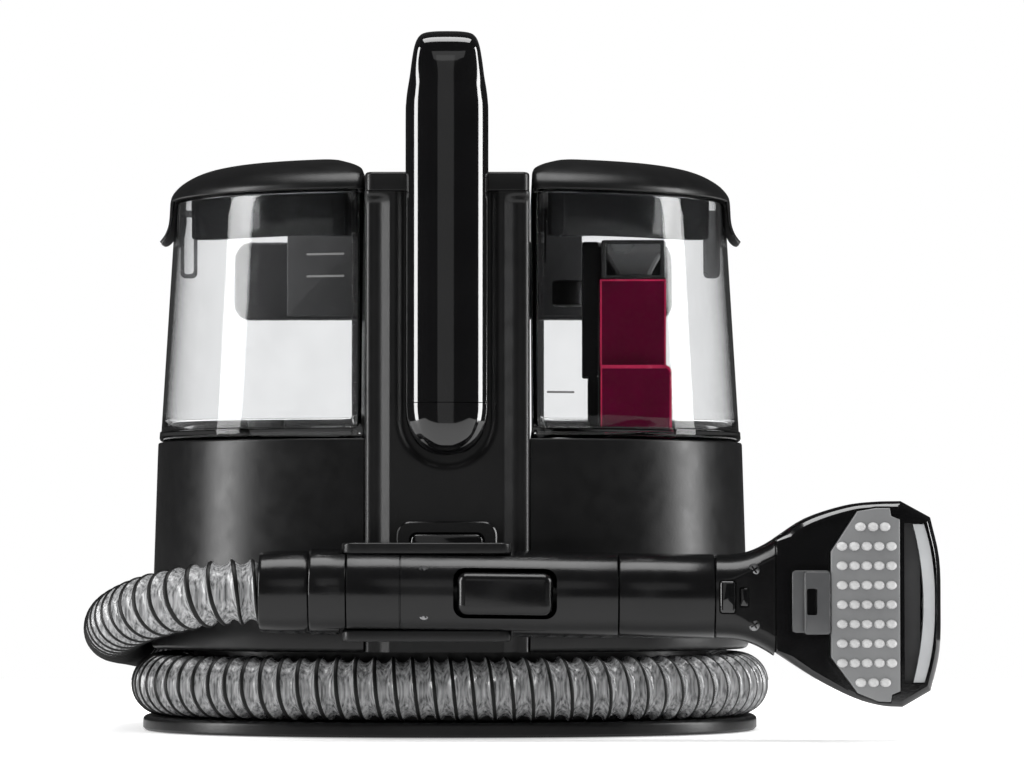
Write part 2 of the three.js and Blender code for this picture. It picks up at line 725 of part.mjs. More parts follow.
function neckFlare() {
  const corners = 32;
  return loft(NECK_FLARE.map(([x, half]) => Array.from({ length: corners }, (_, i) => {
    const angle = (2 * Math.PI * i) / corners;
    return new THREE.Vector3(x, TOOL.y + TOOL.radius * Math.cos(angle), TOOL.z + half * Math.sin(angle));
  })));
}

function toolNeck() {
  const { x0, x1, z0, z1 } = LOCK;
  const pocket = block(x0 - GAP, x1 + GAP, -170, -153.4, z0 - GAP, z1 + GAP);
  const { x, dz, radius } = NECK_SCREW;
  const holes = [-1, 1].map((end) => rodY(x, -170, -149.5, TOOL.z + end * dz, radius + GAP, 16));
  return cut(join(toolBar(125.3, 140), neckFlare()), toolBar(120, 160, TOOL.bore), pocket, ...holes);
}

const neckScrew = (end) => rodY(NECK_SCREW.x, -155.2, -150, TOOL.z + end * NECK_SCREW.dz, NECK_SCREW.radius, 16);
const lockButton = () => prism('xz', roundedRect(LOCK.x0, LOCK.x1, LOCK.z0, LOCK.z1, 1.5), LOCK.front, LOCK.back);

function nozzleHead() {
  const outline = [
    [153.1, 94.5], [153.1, 40.6], [167, 30.6], [188.6, 20], [203.8, 15.6], [210.8, 15.6], [224, 24.3],
    [227.7, 46], [229.1, 68], [228.1, 88], [224.7, 103.4], [210.8, 111.3], [199, 110.8], [189, 108.6], [167, 104],
  ].map(([x, z]) => new THREE.Vector2(x, z));
  return cut(
    prism('xz', outline, HEAD.front, HEAD.back),
    prism('xz', roundedRect(177.2, 210, 18, 108.4, 2), -170, PAD.back + GAP),
    block(211.6, 225.6, -170, -130, 27, 101),
    block(150, 216, -150, -130, 58, 80),
  );
}

const nozzleWindow = () => block(221.4, 225.2, -163, -146, 28, 100);

function brushPlate() {
  const outline = [
    [190, 106.2], [177.8, 87.8], [177.8, 39.2], [190, 22.7], [199.6, 18.5], [203.6, 18.5],
    [209, 22.7], [209.5, 103], [204.6, 107.8], [198.6, 107.8],
  ].map(([x, z]) => new THREE.Vector2(x, z));
  return prism('xz', outline, PAD.front, PAD.back);
}

function brushLatch() {
  const shape = roundedRect(160, 177.5, 50.4, 79.2, 2);
  shape.holes.push(roundedRect(166.2, 171.6, 58.3, 70.8, 1));
  return prism('xz', shape, -167, HEAD.front - GAP);
}

const sprayTip = () => rodY(216.6, -142, -130.3, 64, 2.6, 12);

// ---------------------------------------------------------------- hose

// One turn in the recess, then a free stretch up the left side to the hand tool's cuff.
function hoseRoute() {
  const { a, b, z, startAngle, leaveAngle } = HOSE;
  const turns = 44;
  const points = [];
  for (let i = 0; i <= turns; i += 1) {
    const angle = startAngle + ((leaveAngle - startAngle) * i) / turns;
    const place = ovalPoint(a, b, angle * RAD);
    points.push([place.x, place.y, z]);
  }
  return [
    ...points,
    [-74, 108, 25], [-104, 112, 31], [-133, 107, 37], [-154, 83, 42], [-163, 45, 45.5], [-164, 0, 47.5],
    [-163, -45, 50], [-156.5, -85, 55], [-142, -115, 61], [-122, -133, 66], [-105, -139.4, 68.5],
    [-94, TOOL.y, TOOL.z], [-87.5, TOOL.y, TOOL.z],
  ];
}

const hose = () => tube(hoseRoute(), HOSE.radius, 78);

// The barrel on the drum that the hose is plugged into.
function hosePort() {
  const start = ovalPoint(HOSE.a, HOSE.b, HOSE.startAngle * RAD);
  const next = ovalPoint(HOSE.a, HOSE.b, (HOSE.startAngle + 1) * RAD);
  const ahead = next.clone().sub(start).normalize();
  const inward = new THREE.Vector2(-ahead.y, ahead.x);
  const place = (back, side = 0) => {
    const point = start.clone().addScaledVector(ahead, -back).addScaledVector(inward, side);
    return [point.x, point.y, HOSE.z];
  };
  const barrel = rod(place(26), place(1.2), 14.4, 24);
  const neck = rod(place(13), place(13, 14.8), 11, 20);
  return cut(join(barrel, neck), rod(place(14), place(-5), 10, 20));
}

// ---------------------------------------------------------------- assembly

add('base_plate', basePlate(), satinBlack());
footPlaces().forEach((place, i) => add(`foot_${i + 1}`, foot(place), rubberBlack()));
add('hose_drum', hoseDrum(), satinBlack());
add('lower_housing', lowerHousing(), satinBlack());
add('tank_deck', tankDeck(), satinBlack());
add('exhaust_grille', exhaustGrille(), satinBlack());
add('cord_gland', cordGland(), rubberBlack());

add('column_front_cover', columnFrontCover(), satinBlack());
add('column_rear_cover', columnRearCover(), satinBlack());
add('column_top_cap', columnTopCap(), satinBlack());
add('cable_wrap', cableWrap(), satinBlack());
add('handle_arch', handleArch(), glossBlack());
add('handle_end_cap', handleEndCap(), glossBlack());
add('tool_dock', toolDock(), satinBlack());
add('switch_bezel', switchBezel(), satinBlack());
add('power_button', powerButton(), glossBlack());
add('power_switch', powerSwitch(), innerBlack());

add('motor_can', motorCan(), steel());
add('fan_housing', fanHousing(), innerBlack());
add('fan_impeller', fanImpeller(), greyPlastic());
add('suction_duct', suctionDuct(), innerBlack());
add('water_pump', waterPump(), innerBlack());
add('pump_inlet_tube', pumpInletTube(), clearPlastic());
add('solution_tube', solutionTube(), clearPlastic());
add('inlet_duct', inletDuct(), innerBlack());

add('clean_tank', cleanTank(), clearPlastic());
add('outlet_valve', outletValve(), greyPlastic());
add('clean_lid', lid(-1), satinBlack());
add('clean_lid_skirt', lidSkirt(-1), smokedPlastic());
add('clean_hinge_pin', hingePin(-1), steel());
add('dirty_tank', dirtyTank(), clearPlastic());
add('dirty_lid', dirtyLid(), satinBlack());
add('dirty_lid_skirt', lidSkirt(1), smokedPlastic());
add('dirty_hinge_pin', hingePin(1), steel());
add('inlet_tower', inletTower(), redPlastic());
add('inlet_funnel', inletFunnel(), clearPlastic());
add('float', float(), greyPlastic());

add('hose_cuff', hoseCuff(), glossBlack());
add('swivel_ring', swivelRing(), satinBlack());
add('grip_front_shell', gripFrontShell(), satinBlack());
add('grip_rear_shell', gripHalf(1), satinBlack());
add('trigger', trigger(), glossBlack());
add('trigger_valve', triggerValve(), innerBlack());
add('tool_sleeve', toolSleeve(), satinBlack());
add('tool_neck', toolNeck(), satinBlack());
add('lock_button', lockButton(), glossBlack());
[-1, 1].forEach((end, i) => {
  add(`grip_screw_${i + 1}`, gripScrew(end), steel());
  add(`neck_screw_${i + 1}`, neckScrew(end), steel());
});
add('nozzle_head', nozzleHead(), smokedPlastic());
add('nozzle_window', nozzleWindow(), clearPlastic());
add('brush_plate', brushPlate(), greyPlastic());
add('brush_latch', brushLatch(), greyPlastic());
add('spray_tip', sprayTip(), steel());

add('hose_port', hosePort(), satinBlack());
add('hose', hose(), hoseVinyl());

export default machine;
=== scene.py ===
from math import acos, atan2, copysign, cos, hypot, pi, radians, sin, sqrt

import bmesh
import bpy
import numpy as np
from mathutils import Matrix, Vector


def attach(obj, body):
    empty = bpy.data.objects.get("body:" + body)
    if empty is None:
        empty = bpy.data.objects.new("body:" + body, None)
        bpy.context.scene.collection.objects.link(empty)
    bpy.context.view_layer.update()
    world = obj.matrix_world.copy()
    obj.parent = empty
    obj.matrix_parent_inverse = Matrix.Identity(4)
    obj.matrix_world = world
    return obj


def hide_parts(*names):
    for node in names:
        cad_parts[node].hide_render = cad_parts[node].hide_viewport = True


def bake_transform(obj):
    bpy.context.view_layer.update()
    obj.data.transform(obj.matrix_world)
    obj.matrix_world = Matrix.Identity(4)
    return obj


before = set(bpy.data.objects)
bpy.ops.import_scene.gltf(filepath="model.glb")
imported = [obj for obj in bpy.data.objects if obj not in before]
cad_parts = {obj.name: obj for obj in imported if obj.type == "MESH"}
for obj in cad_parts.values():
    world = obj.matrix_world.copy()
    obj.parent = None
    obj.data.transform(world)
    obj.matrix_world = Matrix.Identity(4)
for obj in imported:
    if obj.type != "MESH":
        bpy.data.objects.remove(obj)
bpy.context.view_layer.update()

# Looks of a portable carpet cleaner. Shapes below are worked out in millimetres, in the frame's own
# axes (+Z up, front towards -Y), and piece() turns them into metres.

MM = 0.001

# The power of the superellipse that every oval of the machine follows.
POWER = 2.3

# Sizes and places of the main pieces, in millimetres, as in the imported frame.
BASE = dict(a=152.5, b=116, top=7.0)
DRUM = dict(a=127.5, b=91, bottom=7.3, top=39.7)
HOUSING = dict(a=148.5, b=112, a_top=145.5, b_top=109, bottom=40, top=141.7)
TANK = dict(a=145, b=108, a_top=137.2, b_top=102.2, bottom=142.3, top=260, inner=40.3, wall=2.4)
COLUMN = dict(half=39.3, front=-115, rear=104, foot=-98.4, bottom=40.3, step=142.25, top=258.7, cap=268)
SCOOP = dict(middle=150.5, depth=2.8, inner=20.5, outer=24.8)
HANDLE = dict(half=19.6, front=-129.2, back=-115.6, seam=158.2, bottom=133)
JAWS = dict(left=-48.5, right=30.5, front=-150, back=-115.3, plate=-118.6)
HOSE = dict(radius=15.5, a=143, b=106.5, z=22.6, start=150, leave=464, pitch=8.8)
GRIP = dict(radius=20, inner=14.5, left=-46, right=80, groove=-21.1, screw_x=-10, screw_gap=9.8)
NECK = dict(screw_x=143, screw_gap=12.8, end=153.1)
TOOL_Y, TOOL_Z = -140, 69
SLEEVE_RADIUS = 19.7
# A depth well in front of the docked tool, where its cutters start.
CLEAR_OF_TOOL = -175

WHITE = (1, 1, 1, 1)
SIDES = ((-1, "clean"), (1, "dirty"))

scene = bpy.context.scene


# ---------- camera, light and floor

def placed(name, data):
    obj = bpy.data.objects.new(name, data)
    scene.collection.objects.link(obj)
    return obj


def make_camera():
    data = bpy.data.cameras.new("camera")
    data.lens = 150.7
    data.sensor_width = 36
    data.clip_end = 50
    camera = placed("camera", data)
    camera.location = (0.0308, -2.143, 0.0885)
    camera.rotation_euler = (radians(90 + 2.22), 0, 0)
    scene.camera = camera


def softbox(name, place, aim, width, height, power):
    data = bpy.data.lights.new(name, "AREA")
    data.shape = "RECTANGLE"
    data.size = width
    data.size_y = height
    data.energy = power
    light = placed(name, data)
    light.location = place
    light.rotation_euler = (Vector(aim) - Vector(place)).to_track_quat("-Z", "Y").to_euler()


def make_lights():
    softbox("left_strip", (-1.55, -0.42, 0.35), (0, 0, 0.15), 0.42, 1.7, 27)
    softbox("right_strip", (1.63, -0.13, 0.35), (0, 0, 0.15), 0.42, 1.7, 27)
    softbox("top_box", (0, -0.15, 1.7), (0, 0, 0.2), 1.3, 0.8, 20)
    softbox("rear_strip", (-0.12, -3.4, 0.25), (0, 0, 0.2), 0.5, 2.4, 1.2)
    softbox("front_fill", (0.2, -2.6, 1.3), (0, 0, 0.15), 1.6, 0.9, 2.5)


def make_world():
    """A white surrounding that plain views see at full strength and reflections see dimmed."""
    world = bpy.data.worlds.new("studio")
    scene.world = world
    world.use_nodes = True
    tree = world.node_tree
    tree.nodes.clear()
    out, paths, mix = (add_node(tree, kind) for kind in ("OutputWorld", "LightPath", "MixShader"))
    dim = add_node(tree, "Background", Color=WHITE, Strength=0.045)
    bright = add_node(tree, "Background", Color=WHITE, Strength=1)
    tree.links.new(paths.outputs["Glossy Depth"], mix.inputs[0])
    tree.links.new(bright.outputs[0], mix.inputs[1])
    tree.links.new(dim.outputs[0], mix.inputs[2])
    tree.links.new(mix.outputs[0], out.inputs[0])


def make_floor():
    mesh = bpy.data.meshes.new("floor")
    reach = 0.8
    corners = [(-reach, -reach, 0), (reach, -reach, 0), (reach, reach, 0), (-reach, reach, 0)]
    mesh.from_pydata(corners, [], [(0, 1, 2, 3)])
    floor = placed("floor", mesh)
    floor.location.z = -0.0004
    material, shader = new_material("floor_white")
    set_sockets(shader, Base_Color=(0.92, 0.92, 0.92, 1), Roughness=0.6, Specular_IOR_Level=0.2,
                Emission_Color=WHITE, Emission_Strength=0.32)
    mesh.materials.append(material)


# ---------- materials

def new_material(name):
    material = bpy.data.materials.new("look_" + name)
    material.use_nodes = True
    return material, material.node_tree.nodes["Principled BSDF"]


def set_sockets(node, **values):
    """Sets constants on a node's sockets, each named with _ for its spaces."""
    for socket, value in values.items():
        node.inputs[socket.replace("_", " ")].default_value = value


def add_node(tree, kind, **values):
    node = tree.nodes.new("ShaderNode" + kind)
    set_sockets(node, **values)
    return node


def noise(tree, scale, detail=3.0, stretch=(1, 1, 1)):
    coords = add_node(tree, "TexCoord")
    mapping = add_node(tree, "Mapping", Scale=stretch)
    texture = add_node(tree, "TexNoise", Scale=scale, Detail=detail)
    tree.links.new(coords.outputs["Object"], mapping.inputs["Vector"])
    tree.links.new(mapping.outputs["Vector"], texture.inputs["Vector"])
    return texture.outputs["Fac"]


def spread(tree, value, low, high):
    """Maps a noise value onto low..high."""
    node = add_node(tree, "MapRange", From_Min=0.3, From_Max=0.7, To_Min=low, To_Max=high)
    tree.links.new(value, node.inputs["Value"])
    return node.outputs["Result"]


def ramp(tree, value, dark, light):
    node = add_node(tree, "ValToRGB")
    node.color_ramp.elements[0].position = 0.3
    node.color_ramp.elements[0].color = (*dark, 1)
    node.color_ramp.elements[1].position = 0.7
    node.color_ramp.elements[1].color = (*light, 1)
    tree.links.new(value, node.inputs["Fac"])
    return node.outputs["Color"]


def bump(tree, shader, value, distance):
    node = add_node(tree, "Bump", Distance=distance)
    tree.links.new(value, node.inputs["Height"])
    tree.links.new(node.outputs["Normal"], shader.inputs["Normal"])


def tint(shade, blue):
    """A grey with a trace more blue, or a colour as it stands."""
    return shade if isinstance(shade, tuple) else (shade, shade, shade + blue)


def moulded(name, dark, light, rough, blue=0.0, grain=900, depth=0.00002, **sockets):
    """Moulded plastic: faint mottling, uneven gloss and a fine surface grain."""
    material, shader = new_material(name)
    tree = material.node_tree
    mottle = 45.0
    colour = ramp(tree, noise(tree, mottle), tint(dark, blue), tint(light, blue))
    tree.links.new(colour, shader.inputs["Base Color"])
    tree.links.new(spread(tree, noise(tree, mottle * 3), *rough), shader.inputs["Roughness"])
    bump(tree, shader, noise(tree, grain, 2.0), depth)
    set_sockets(shader, **sockets)
    return material


def hose_wall():
    """Thin smoky vinyl: painted highlight streaks with a random tone across the hose, a little light through it
    and a wavy gloss.
    """
    material, shader = new_material("hose_wall")
    tree = material.node_tree
    # Painted highlight: light streaks across the hose stand in for glints on the corrugations, mixed with
    # random tone.
    painted_glint_streaks = noise(tree, 70, 4.0, (11, 11, 0.6))
    colour = ramp(tree, painted_glint_streaks, (0.07, 0.071, 0.073), (0.5, 0.503, 0.508))
    tree.links.new(colour, shader.inputs["Base Color"])
    tree.links.new(spread(tree, noise(tree, 200), 0.08, 0.2), shader.inputs["Roughness"])
    bump(tree, shader, noise(tree, 160, 2.0, (1, 1, 0.4)), 0.0004)
    set_sockets(shader, Transmission_Weight=0.35, IOR=1.45)
    return material


# Each look: the material's name, its darker and lighter shade, its roughness from low to high, and what else
# it needs. Bump depths are in metres.
LOOKS = dict(
    satin=("satin_black", 0.003, 0.0046, (0.29, 0.36),
        dict(blue=0.0002, depth=0.00003, Specular_IOR_Level=0.36)),
    tool=("tool_black", 0.0026, 0.004, (0.17, 0.23), dict(blue=0.0002, Specular_IOR_Level=0.36)),
    gloss=("gloss_black", 0.0016, 0.0026, (0.05, 0.09),
        dict(blue=0.0002, depth=0.000006, Coat_Weight=0.6, Coat_Roughness=0.03)),
    nozzle=("nozzle_black", 0.0016, 0.0026, (0.07, 0.12),
        dict(blue=0.0002, depth=0.00001, Coat_Weight=0.5, Coat_Roughness=0.04)),
    rubber=("rubber_black", 0.012, 0.02, (0.7, 0.85), dict(depth=0.00006)),
    inner=("inner_black", 0.02, 0.032, (0.5, 0.62), dict(blue=0.001, depth=0.00005)),
    shadow=("shadow_black", 0.004, 0.007, (0.5, 0.6), dict(blue=0.0002, Specular_IOR_Level=0.2)),
    dusk=("cable_wrap_black", 0.026, 0.034, (0.4, 0.5), dict(blue=0.001, depth=0.00003)),
    # A lighter copy of the cable wrap's black: a painted reflection, seen through the clean tank.
    dusk_pad=("cable_wrap_painted_reflection", 0.06, 0.075, (0.4, 0.5), dict(blue=0.001, depth=0.00003)),
    rib=("hose_rib", 0.003, 0.006, (0.4, 0.5), dict(Specular_IOR_Level=0.25)),
    clear=("clear_plastic", (0.9, 0.905, 0.91), (0.94, 0.945, 0.95), (0.015, 0.035),
        dict(grain=260, depth=0.000004, Transmission_Weight=1.0, IOR=1.32)),
    frost=("frosted_plastic", (0.24, 0.243, 0.246), (0.3, 0.304, 0.308), (0.1, 0.18),
        dict(depth=0.00001, Transmission_Weight=0.6, IOR=1.35)),
    smoked=("smoked_plastic", (0.1, 0.105, 0.11), (0.14, 0.145, 0.15), (0.08, 0.14),
        dict(depth=0.00001, Transmission_Weight=0.9, IOR=1.3)),
    window=("window_clear", (0.48, 0.49, 0.5), (0.56, 0.57, 0.58), (0.12, 0.2),
        dict(depth=0.00001, Transmission_Weight=0.3)),
    red=("red_plastic", (0.13, 0.0015, 0.028), (0.18, 0.002, 0.04), (0.1, 0.16),
        dict(depth=0.00001, Transmission_Weight=0.35, IOR=1.3, Specular_IOR_Level=0.12)),
    # A painted highlight: a brighter red for the lit front edges of the inlet tower.
    red_edge=("red_edge", (0.46, 0.012, 0.07), (0.54, 0.016, 0.085), (0.2, 0.3),
        dict(depth=0.00001, Specular_IOR_Level=0.3)),
    grey=("grey_plastic", (0.125, 0.127, 0.129), (0.15, 0.152, 0.154), (0.32, 0.42), dict(depth=0.00003)),
    nub=("nub_grey", 0.34, 0.4, (0.35, 0.45), dict(depth=0.00003)),
    latch=("latch_grey", (0.06, 0.061, 0.063), (0.085, 0.086, 0.088), (0.15, 0.25),
        dict(Transmission_Weight=0.25)),
    mark=("level_mark", 0.09, 0.12, (0.5, 0.6), dict(depth=0.00001)),
    steel=("steel", 0.2, 0.3, (0.28, 0.42), dict(blue=0.005, grain=1400, depth=0.00001, Metallic=1.0)))

mats = {look: moulded(*row[:4], **row[4]) for look, row in LOOKS.items()}
mats["wall"] = hose_wall()


# ---------- mesh tools

def piece(name, mesh_data, looks, body, *nodes, slot=None, sharp=38):
    """A smooth-shaded object from millimetre vertices and faces, in one look or a tuple of them.

    It rides on the body, if one is given, and stands for the CAD nodes named after it.
    """
    verts, faces = mesh_data
    mesh = bpy.data.meshes.new(name)
    mesh.from_pydata([(x * MM, y * MM, z * MM) for x, y, z in verts], [], faces)
    mesh.update()
    mesh.shade_smooth()
    mesh.set_sharp_from_angle(angle=radians(sharp))
    obj = placed(name, mesh)
    looks = (looks,) if isinstance(looks, str) else looks
    for look in looks:
        mesh.materials.append(mats[look])
    if body:
        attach(obj, body)
    if nodes:
        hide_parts(*nodes)
    return obj


def loft(rings, looped=False, caps=True):
    """Joins equal rings of points. Counter-clockwise rings, seen from the last one, face outwards."""
    count = len(rings[0])
    verts = [point for ring in rings for point in ring]
    faces = []
    for layer in range(len(rings) if looped else len(rings) - 1):
        lower, upper = layer * count, ((layer + 1) % len(rings)) * count
        for i in range(count):
            j = (i + 1) % count
            faces.append((lower + i, lower + j, upper + j, upper + i))
    if caps and not looped:
        last = (len(rings) - 1) * count
        faces.append(tuple(range(count - 1, -1, -1)))
        faces.append(tuple(range(last, last + count)))
    return verts, faces


def merged(*parts):
    verts, faces = [], []
    for part_verts, part_faces in parts:
        faces += [tuple(len(verts) + i for i in face) for face in part_faces]
        verts += part_verts
    return verts, faces


def signed(value, power):
    return copysign(abs(value) ** power, value)


def oval_point(a, b, angle):
    return a * signed(cos(angle), 2 / POWER), b * signed(sin(angle), 2 / POWER)


def around_circle(count):
    return [2 * pi * i / count for i in range(count)]


def oval_ring(a, b, z, count=180):
    return [(*oval_point(a, b, angle), z) for angle in around_circle(count)]


def oval_normal(a, b, x, y):
    nx = signed(x / a, POWER - 1) / a
    ny = signed(y / b, POWER - 1) / b
    size = hypot(nx, ny)
    return nx / size, ny / size


def half_ring(side, a, b, cut, z, corner=4.0, count=90):
    """The oval beyond x = side * cut, with its two corners rounded."""
    a, b, cut = a - corner, b - corner, cut + corner
    limit = acos((cut / a) ** (POWER / 2))
    points = []
    for i in range(count + 1):
        x, y = oval_point(a, b, limit * (2 * i / count - 1))
        nx, ny = oval_normal(a, b, x, y)
        points.append((x + nx * corner, y + ny * corner))
    x, y = oval_point(a, b, limit)
    nx, ny = oval_normal(a, b, x, y)
    start = atan2(ny, nx)
    steps = 7
    arc = []
    for i in range(1, steps + 1):
        angle = start + (pi - start) * i / steps
        arc.append((x + corner * cos(angle), y + corner * sin(angle)))
    points = points + arc + [(px, -py) for px, py in reversed(arc)]
    ring = [(side * px, py, z) for px, py in points]
    return ring if side > 0 else ring[::-1]


def smooth_rows(rows, steps):
    """A table of rows, smoothly filled in between them (Catmull-Rom)."""
    table = np.array(rows, float)
    padded = np.vstack([2 * table[0] - table[1], table, 2 * table[-1] - table[-2]])
    filled = []
    for k in range(1, len(padded) - 2):
        p0, p1, p2, p3 = padded[k - 1:k + 3]
        for i in range(steps):
            t = i / steps
            filled.append(0.5 * (2 * p1 + (p2 - p0) * t + (2 * p0 - 5 * p1 + 4 * p2 - p3) * t ** 2
                                 + (3 * p1 - p0 - 3 * p2 + p3) * t ** 3))
    filled.append(table[-1])
    return filled


def box_outline(x0, x1, y0, y1):
    return [(x0, y0), (x1, y0), (x1, y1), (x0, y1)]


def rounded(x0, x1, z0, z1, radius, steps=6):
    """Counter-clockwise outline in a plane."""
    points = []
    corners = [(x1 - radius, z0 + radius, -90), (x1 - radius, z1 - radius, 0),
               (x0 + radius, z1 - radius, 90), (x0 + radius, z0 + radius, 180)]
    for cx, cz, start in corners:
        for i in range(steps + 1):
            angle = radians(start + 90 * i / steps)
            points.append((cx + radius * cos(angle), cz + radius * sin(angle)))
    return points


def inset(outline, distance):
    """The outline of a convex shape moved inwards."""
    count = len(outline)
    moved = []
    for i, (x, y) in enumerate(outline):
        ax, ay = outline[i - 1]
        bx, by = outline[(i + 1) % count]
        tx, ty = bx - ax, by - ay
        size = hypot(tx, ty) or 1
        first = Vector((x - ax, y - ay)).normalized()
        second = Vector((bx - x, by - y)).normalized()
        widen = 1 / max(0.5, sqrt(max(0.0, (1 + first.dot(second)) / 2)))
        moved.append((x - ty / size * distance * widen, y + tx / size * distance * widen))
    return moved


def counter_clockwise(outline):
    area = sum(a[0] * b[1] - b[0] * a[1] for a, b in zip(outline, outline[1:] + outline[:1]))
    return outline if area > 0 else outline[::-1]


# Two flat coordinates and one along the axis, as a point.
TURN = dict(x=lambda u, v, w: (w, u, v), y=lambda u, v, w: (u, w, v), z=lambda u, v, w: (u, v, w))


def facing(axis, outline, level, off=0):
    """The outline, moved inwards by off, as a ring of points square to Y or Z."""
    return [TURN[axis](u, v, level) for u, v in (inset(outline, off) if off else outline)]


def slab(outline, axis, low, high, low_round=0.0, high_round=0.0, steps=4):
    """An outline extruded along an axis from low to high. The rims of convex ones can be rounded."""
    outline = counter_clockwise(outline)
    quarter = [pi / 2 * i / steps for i in range(steps + 1)]
    profile = [(low, 0.0)]
    if low_round:
        profile = [(low + low_round * (1 - cos(t)), low_round * (1 - sin(t))) for t in quarter]
    if high_round:
        profile += [(high - high_round * (1 - sin(t)), high_round * (1 - cos(t))) for t in quarter]
    else:
        profile.append((high, 0.0))
    rings = [facing(axis, outline, level, off) for level, off in profile]
    return loft([ring[::-1] for ring in rings] if axis == "y" else rings)


def turned(profile, axis, centre, count=48):
    """A closed profile of (radius, along) turned about an axis through centre."""
    cu, cv = centre
    rings = []
    for angle in around_circle(count):
        # About Y the turn runs the other way, so that the faces still look outwards.
        c, s = (sin(angle), cos(angle)) if axis == "y" else (cos(angle), sin(angle))
        points = [(cu + r * c, cv + r * s, along) for r, along in profile]
        rings.append([TURN[axis](*point) for point in points])
    return loft(rings, looped=True)


def blend_step(value, low, high):
    """0 below low, 1 above high, smooth in between."""
    t = min(1.0, max(0.0, (value - low) / (high - low)))
    return t * t * (3 - 2 * t)


def box_distance(u, v, centre, half, radius):
    """Signed distance from a rounded rectangle's edge, negative inside."""
    du = abs(u - centre[0]) - half[0] + radius
    dv = abs(v - centre[1]) - half[1] + radius
    return hypot(max(du, 0), max(dv, 0)) + min(max(du, dv), 0) - radius


# ---------- hose

def hose_route():
    """One turn in the recess, then the free stretch up the left side to the cuff, in millimetres."""
    turns = 44
    points = []
    for i in range(turns + 1):
        angle = radians(HOSE["start"] + (HOSE["leave"] - HOSE["start"]) * i / turns)
        points.append((*oval_point(HOSE["a"], HOSE["b"], angle), HOSE["z"]))
    return points + [
        (-74, 108, 25), (-104, 112, 31), (-133, 107, 37), (-154, 83, 42), (-163, 45, 45.5), (-164, 0, 47.5),
        (-163, -45, 50), (-156.5, -85, 55), (-142, -115, 61), (-122, -133, 66), (-105, -139.4, 68.5),
        (-94, TOOL_Y, TOOL_Z), (-87.5, TOOL_Y, TOOL_Z)]


def along_route(points):
    """Evenly spaced places and a steady frame along a smooth curve through the points."""
    dense = np.array(smooth_rows(points, 24))
    gaps = np.linalg.norm(np.diff(dense, axis=0), axis=1)
    dense = dense[np.concatenate([[True], gaps > 1e-6])]
    reach = np.concatenate([[0], np.cumsum(np.linalg.norm(np.diff(dense, axis=0), axis=1))])
    length = reach[-1]
    samples = np.linspace(0, length, int(length / 1.0) + 1)
    places = np.stack([np.interp(samples, reach, dense[:, k]) for k in range(3)], axis=1)
    tangents = np.gradient(places, axis=0)
    tangents /= np.linalg.norm(tangents, axis=1)[:, None]
    normals = np.zeros_like(places)
    normal = np.array((0.0, 0.0, 1.0))
    for i, tangent in enumerate(tangents):
        normal = normal - tangent * normal.dot(tangent)
        normal /= np.linalg.norm(normal)
        normals[i] = normal
    return samples, places, normals, np.cross(tangents, normals)


def helical_tube(points, radius, pitch, rows, around):
    """A tube whose rows follow a helix, so that a rib is a row of faces.

    Returns its vertices and faces, each face's row in the pitch, some points of the centreline and its length.
    """
    samples, places, normals, sides = along_route(points)
    length = samples[-1]
    wall = 0.8
    sag = 1.9
    total = int(length / pitch) * rows
    grid = []
    verts = []
    for i in range(-rows, total + 2 * rows + 1):
        phase = (i % rows) / rows
        # A raised round rib, then wall that sags a little between ribs.
        if phase < 0.2:
            r = radius - 0.25 * (1 - sin(pi * phase / 0.2))
        else:
            r = radius - wall - sag * sin(pi * (phase - 0.2) / 0.8)
        steps = np.clip(pitch * (i / rows + np.arange(around) / around), 0, length)
        angles = 2 * np.pi * np.arange(around) / around
        centre, normal, side = (
            np.stack([np.interp(steps, samples, column) for column in table.T], axis=1)
            for table in (places, normals, sides))
        ring = centre + r * (np.cos(angles)[:, None] * normal + np.sin(angles)[:, None] * side)
        verts.extend(map(tuple, ring))
        grid.append(steps)
    faces = []
    bands = []
    for i in range(len(grid) - 1 - rows):
        for j in range(around):
            k, shift = (j + 1, 0) if j + 1 < around else (0, rows)
            corners = [(i, j), (i + 1, j), (i + 1 + shift, k), (i + shift, k)]
            reach = [grid[a][b] for a, b in corners]
            if max(reach) - min(reach) < 1e-6:
                continue
            faces.append(tuple(a * around + b for a, b in corners)[::-1])
            bands.append(i % rows)
    return verts, faces, bands, [tuple(p) for p in places[::10]], length


def make_hose():
    rows, around = 10, 48
    route = hose_route()
    verts, faces, bands, path, length = helical_tube(route, HOSE["radius"], HOSE["pitch"], rows, around)
    hose = piece("corrugated_hose", (verts, faces), ("wall", "rib"), None, "hose", sharp=60)
    for polygon, band in zip(hose.data.polygons, bands):
        polygon.material_index = 1 if band < 2 else 0
    tidy_mesh(hose)
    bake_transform(hose)
    return hose, path, length


def tidy_mesh(obj):
    """Welds doubled points, drops flat faces and closes open ends."""
    work = bmesh.new()
    work.from_mesh(obj.data)
    bmesh.ops.remove_doubles(work, verts=work.verts, dist=1e-6)
    bmesh.ops.dissolve_degenerate(work, edges=work.edges, dist=1e-7)
    bmesh.ops.holes_fill(work, edges=[edge for edge in work.edges if edge.is_boundary], sides=0)
    bmesh.ops.recalc_face_normals(work, faces=work.faces)
    work.to_mesh(obj.data)
    work.free()


# ---------- base, housing and deck

def make_base():
    a, b, top = BASE.values()
    round_off = 2.2
    rings = [oval_ring(a - 1.2, b - 1.2, 0), oval_ring(a, b, 1.2)]
    for i in range(7):
        t = pi / 2 * i / 6
        off = round_off * (1 - cos(t))
        rings.append(oval_ring(a - off, b - off, top - round_off * (1 - sin(t))))
    piece("base_plate_shell", loft(rings), "satin", "root", "base_plate")


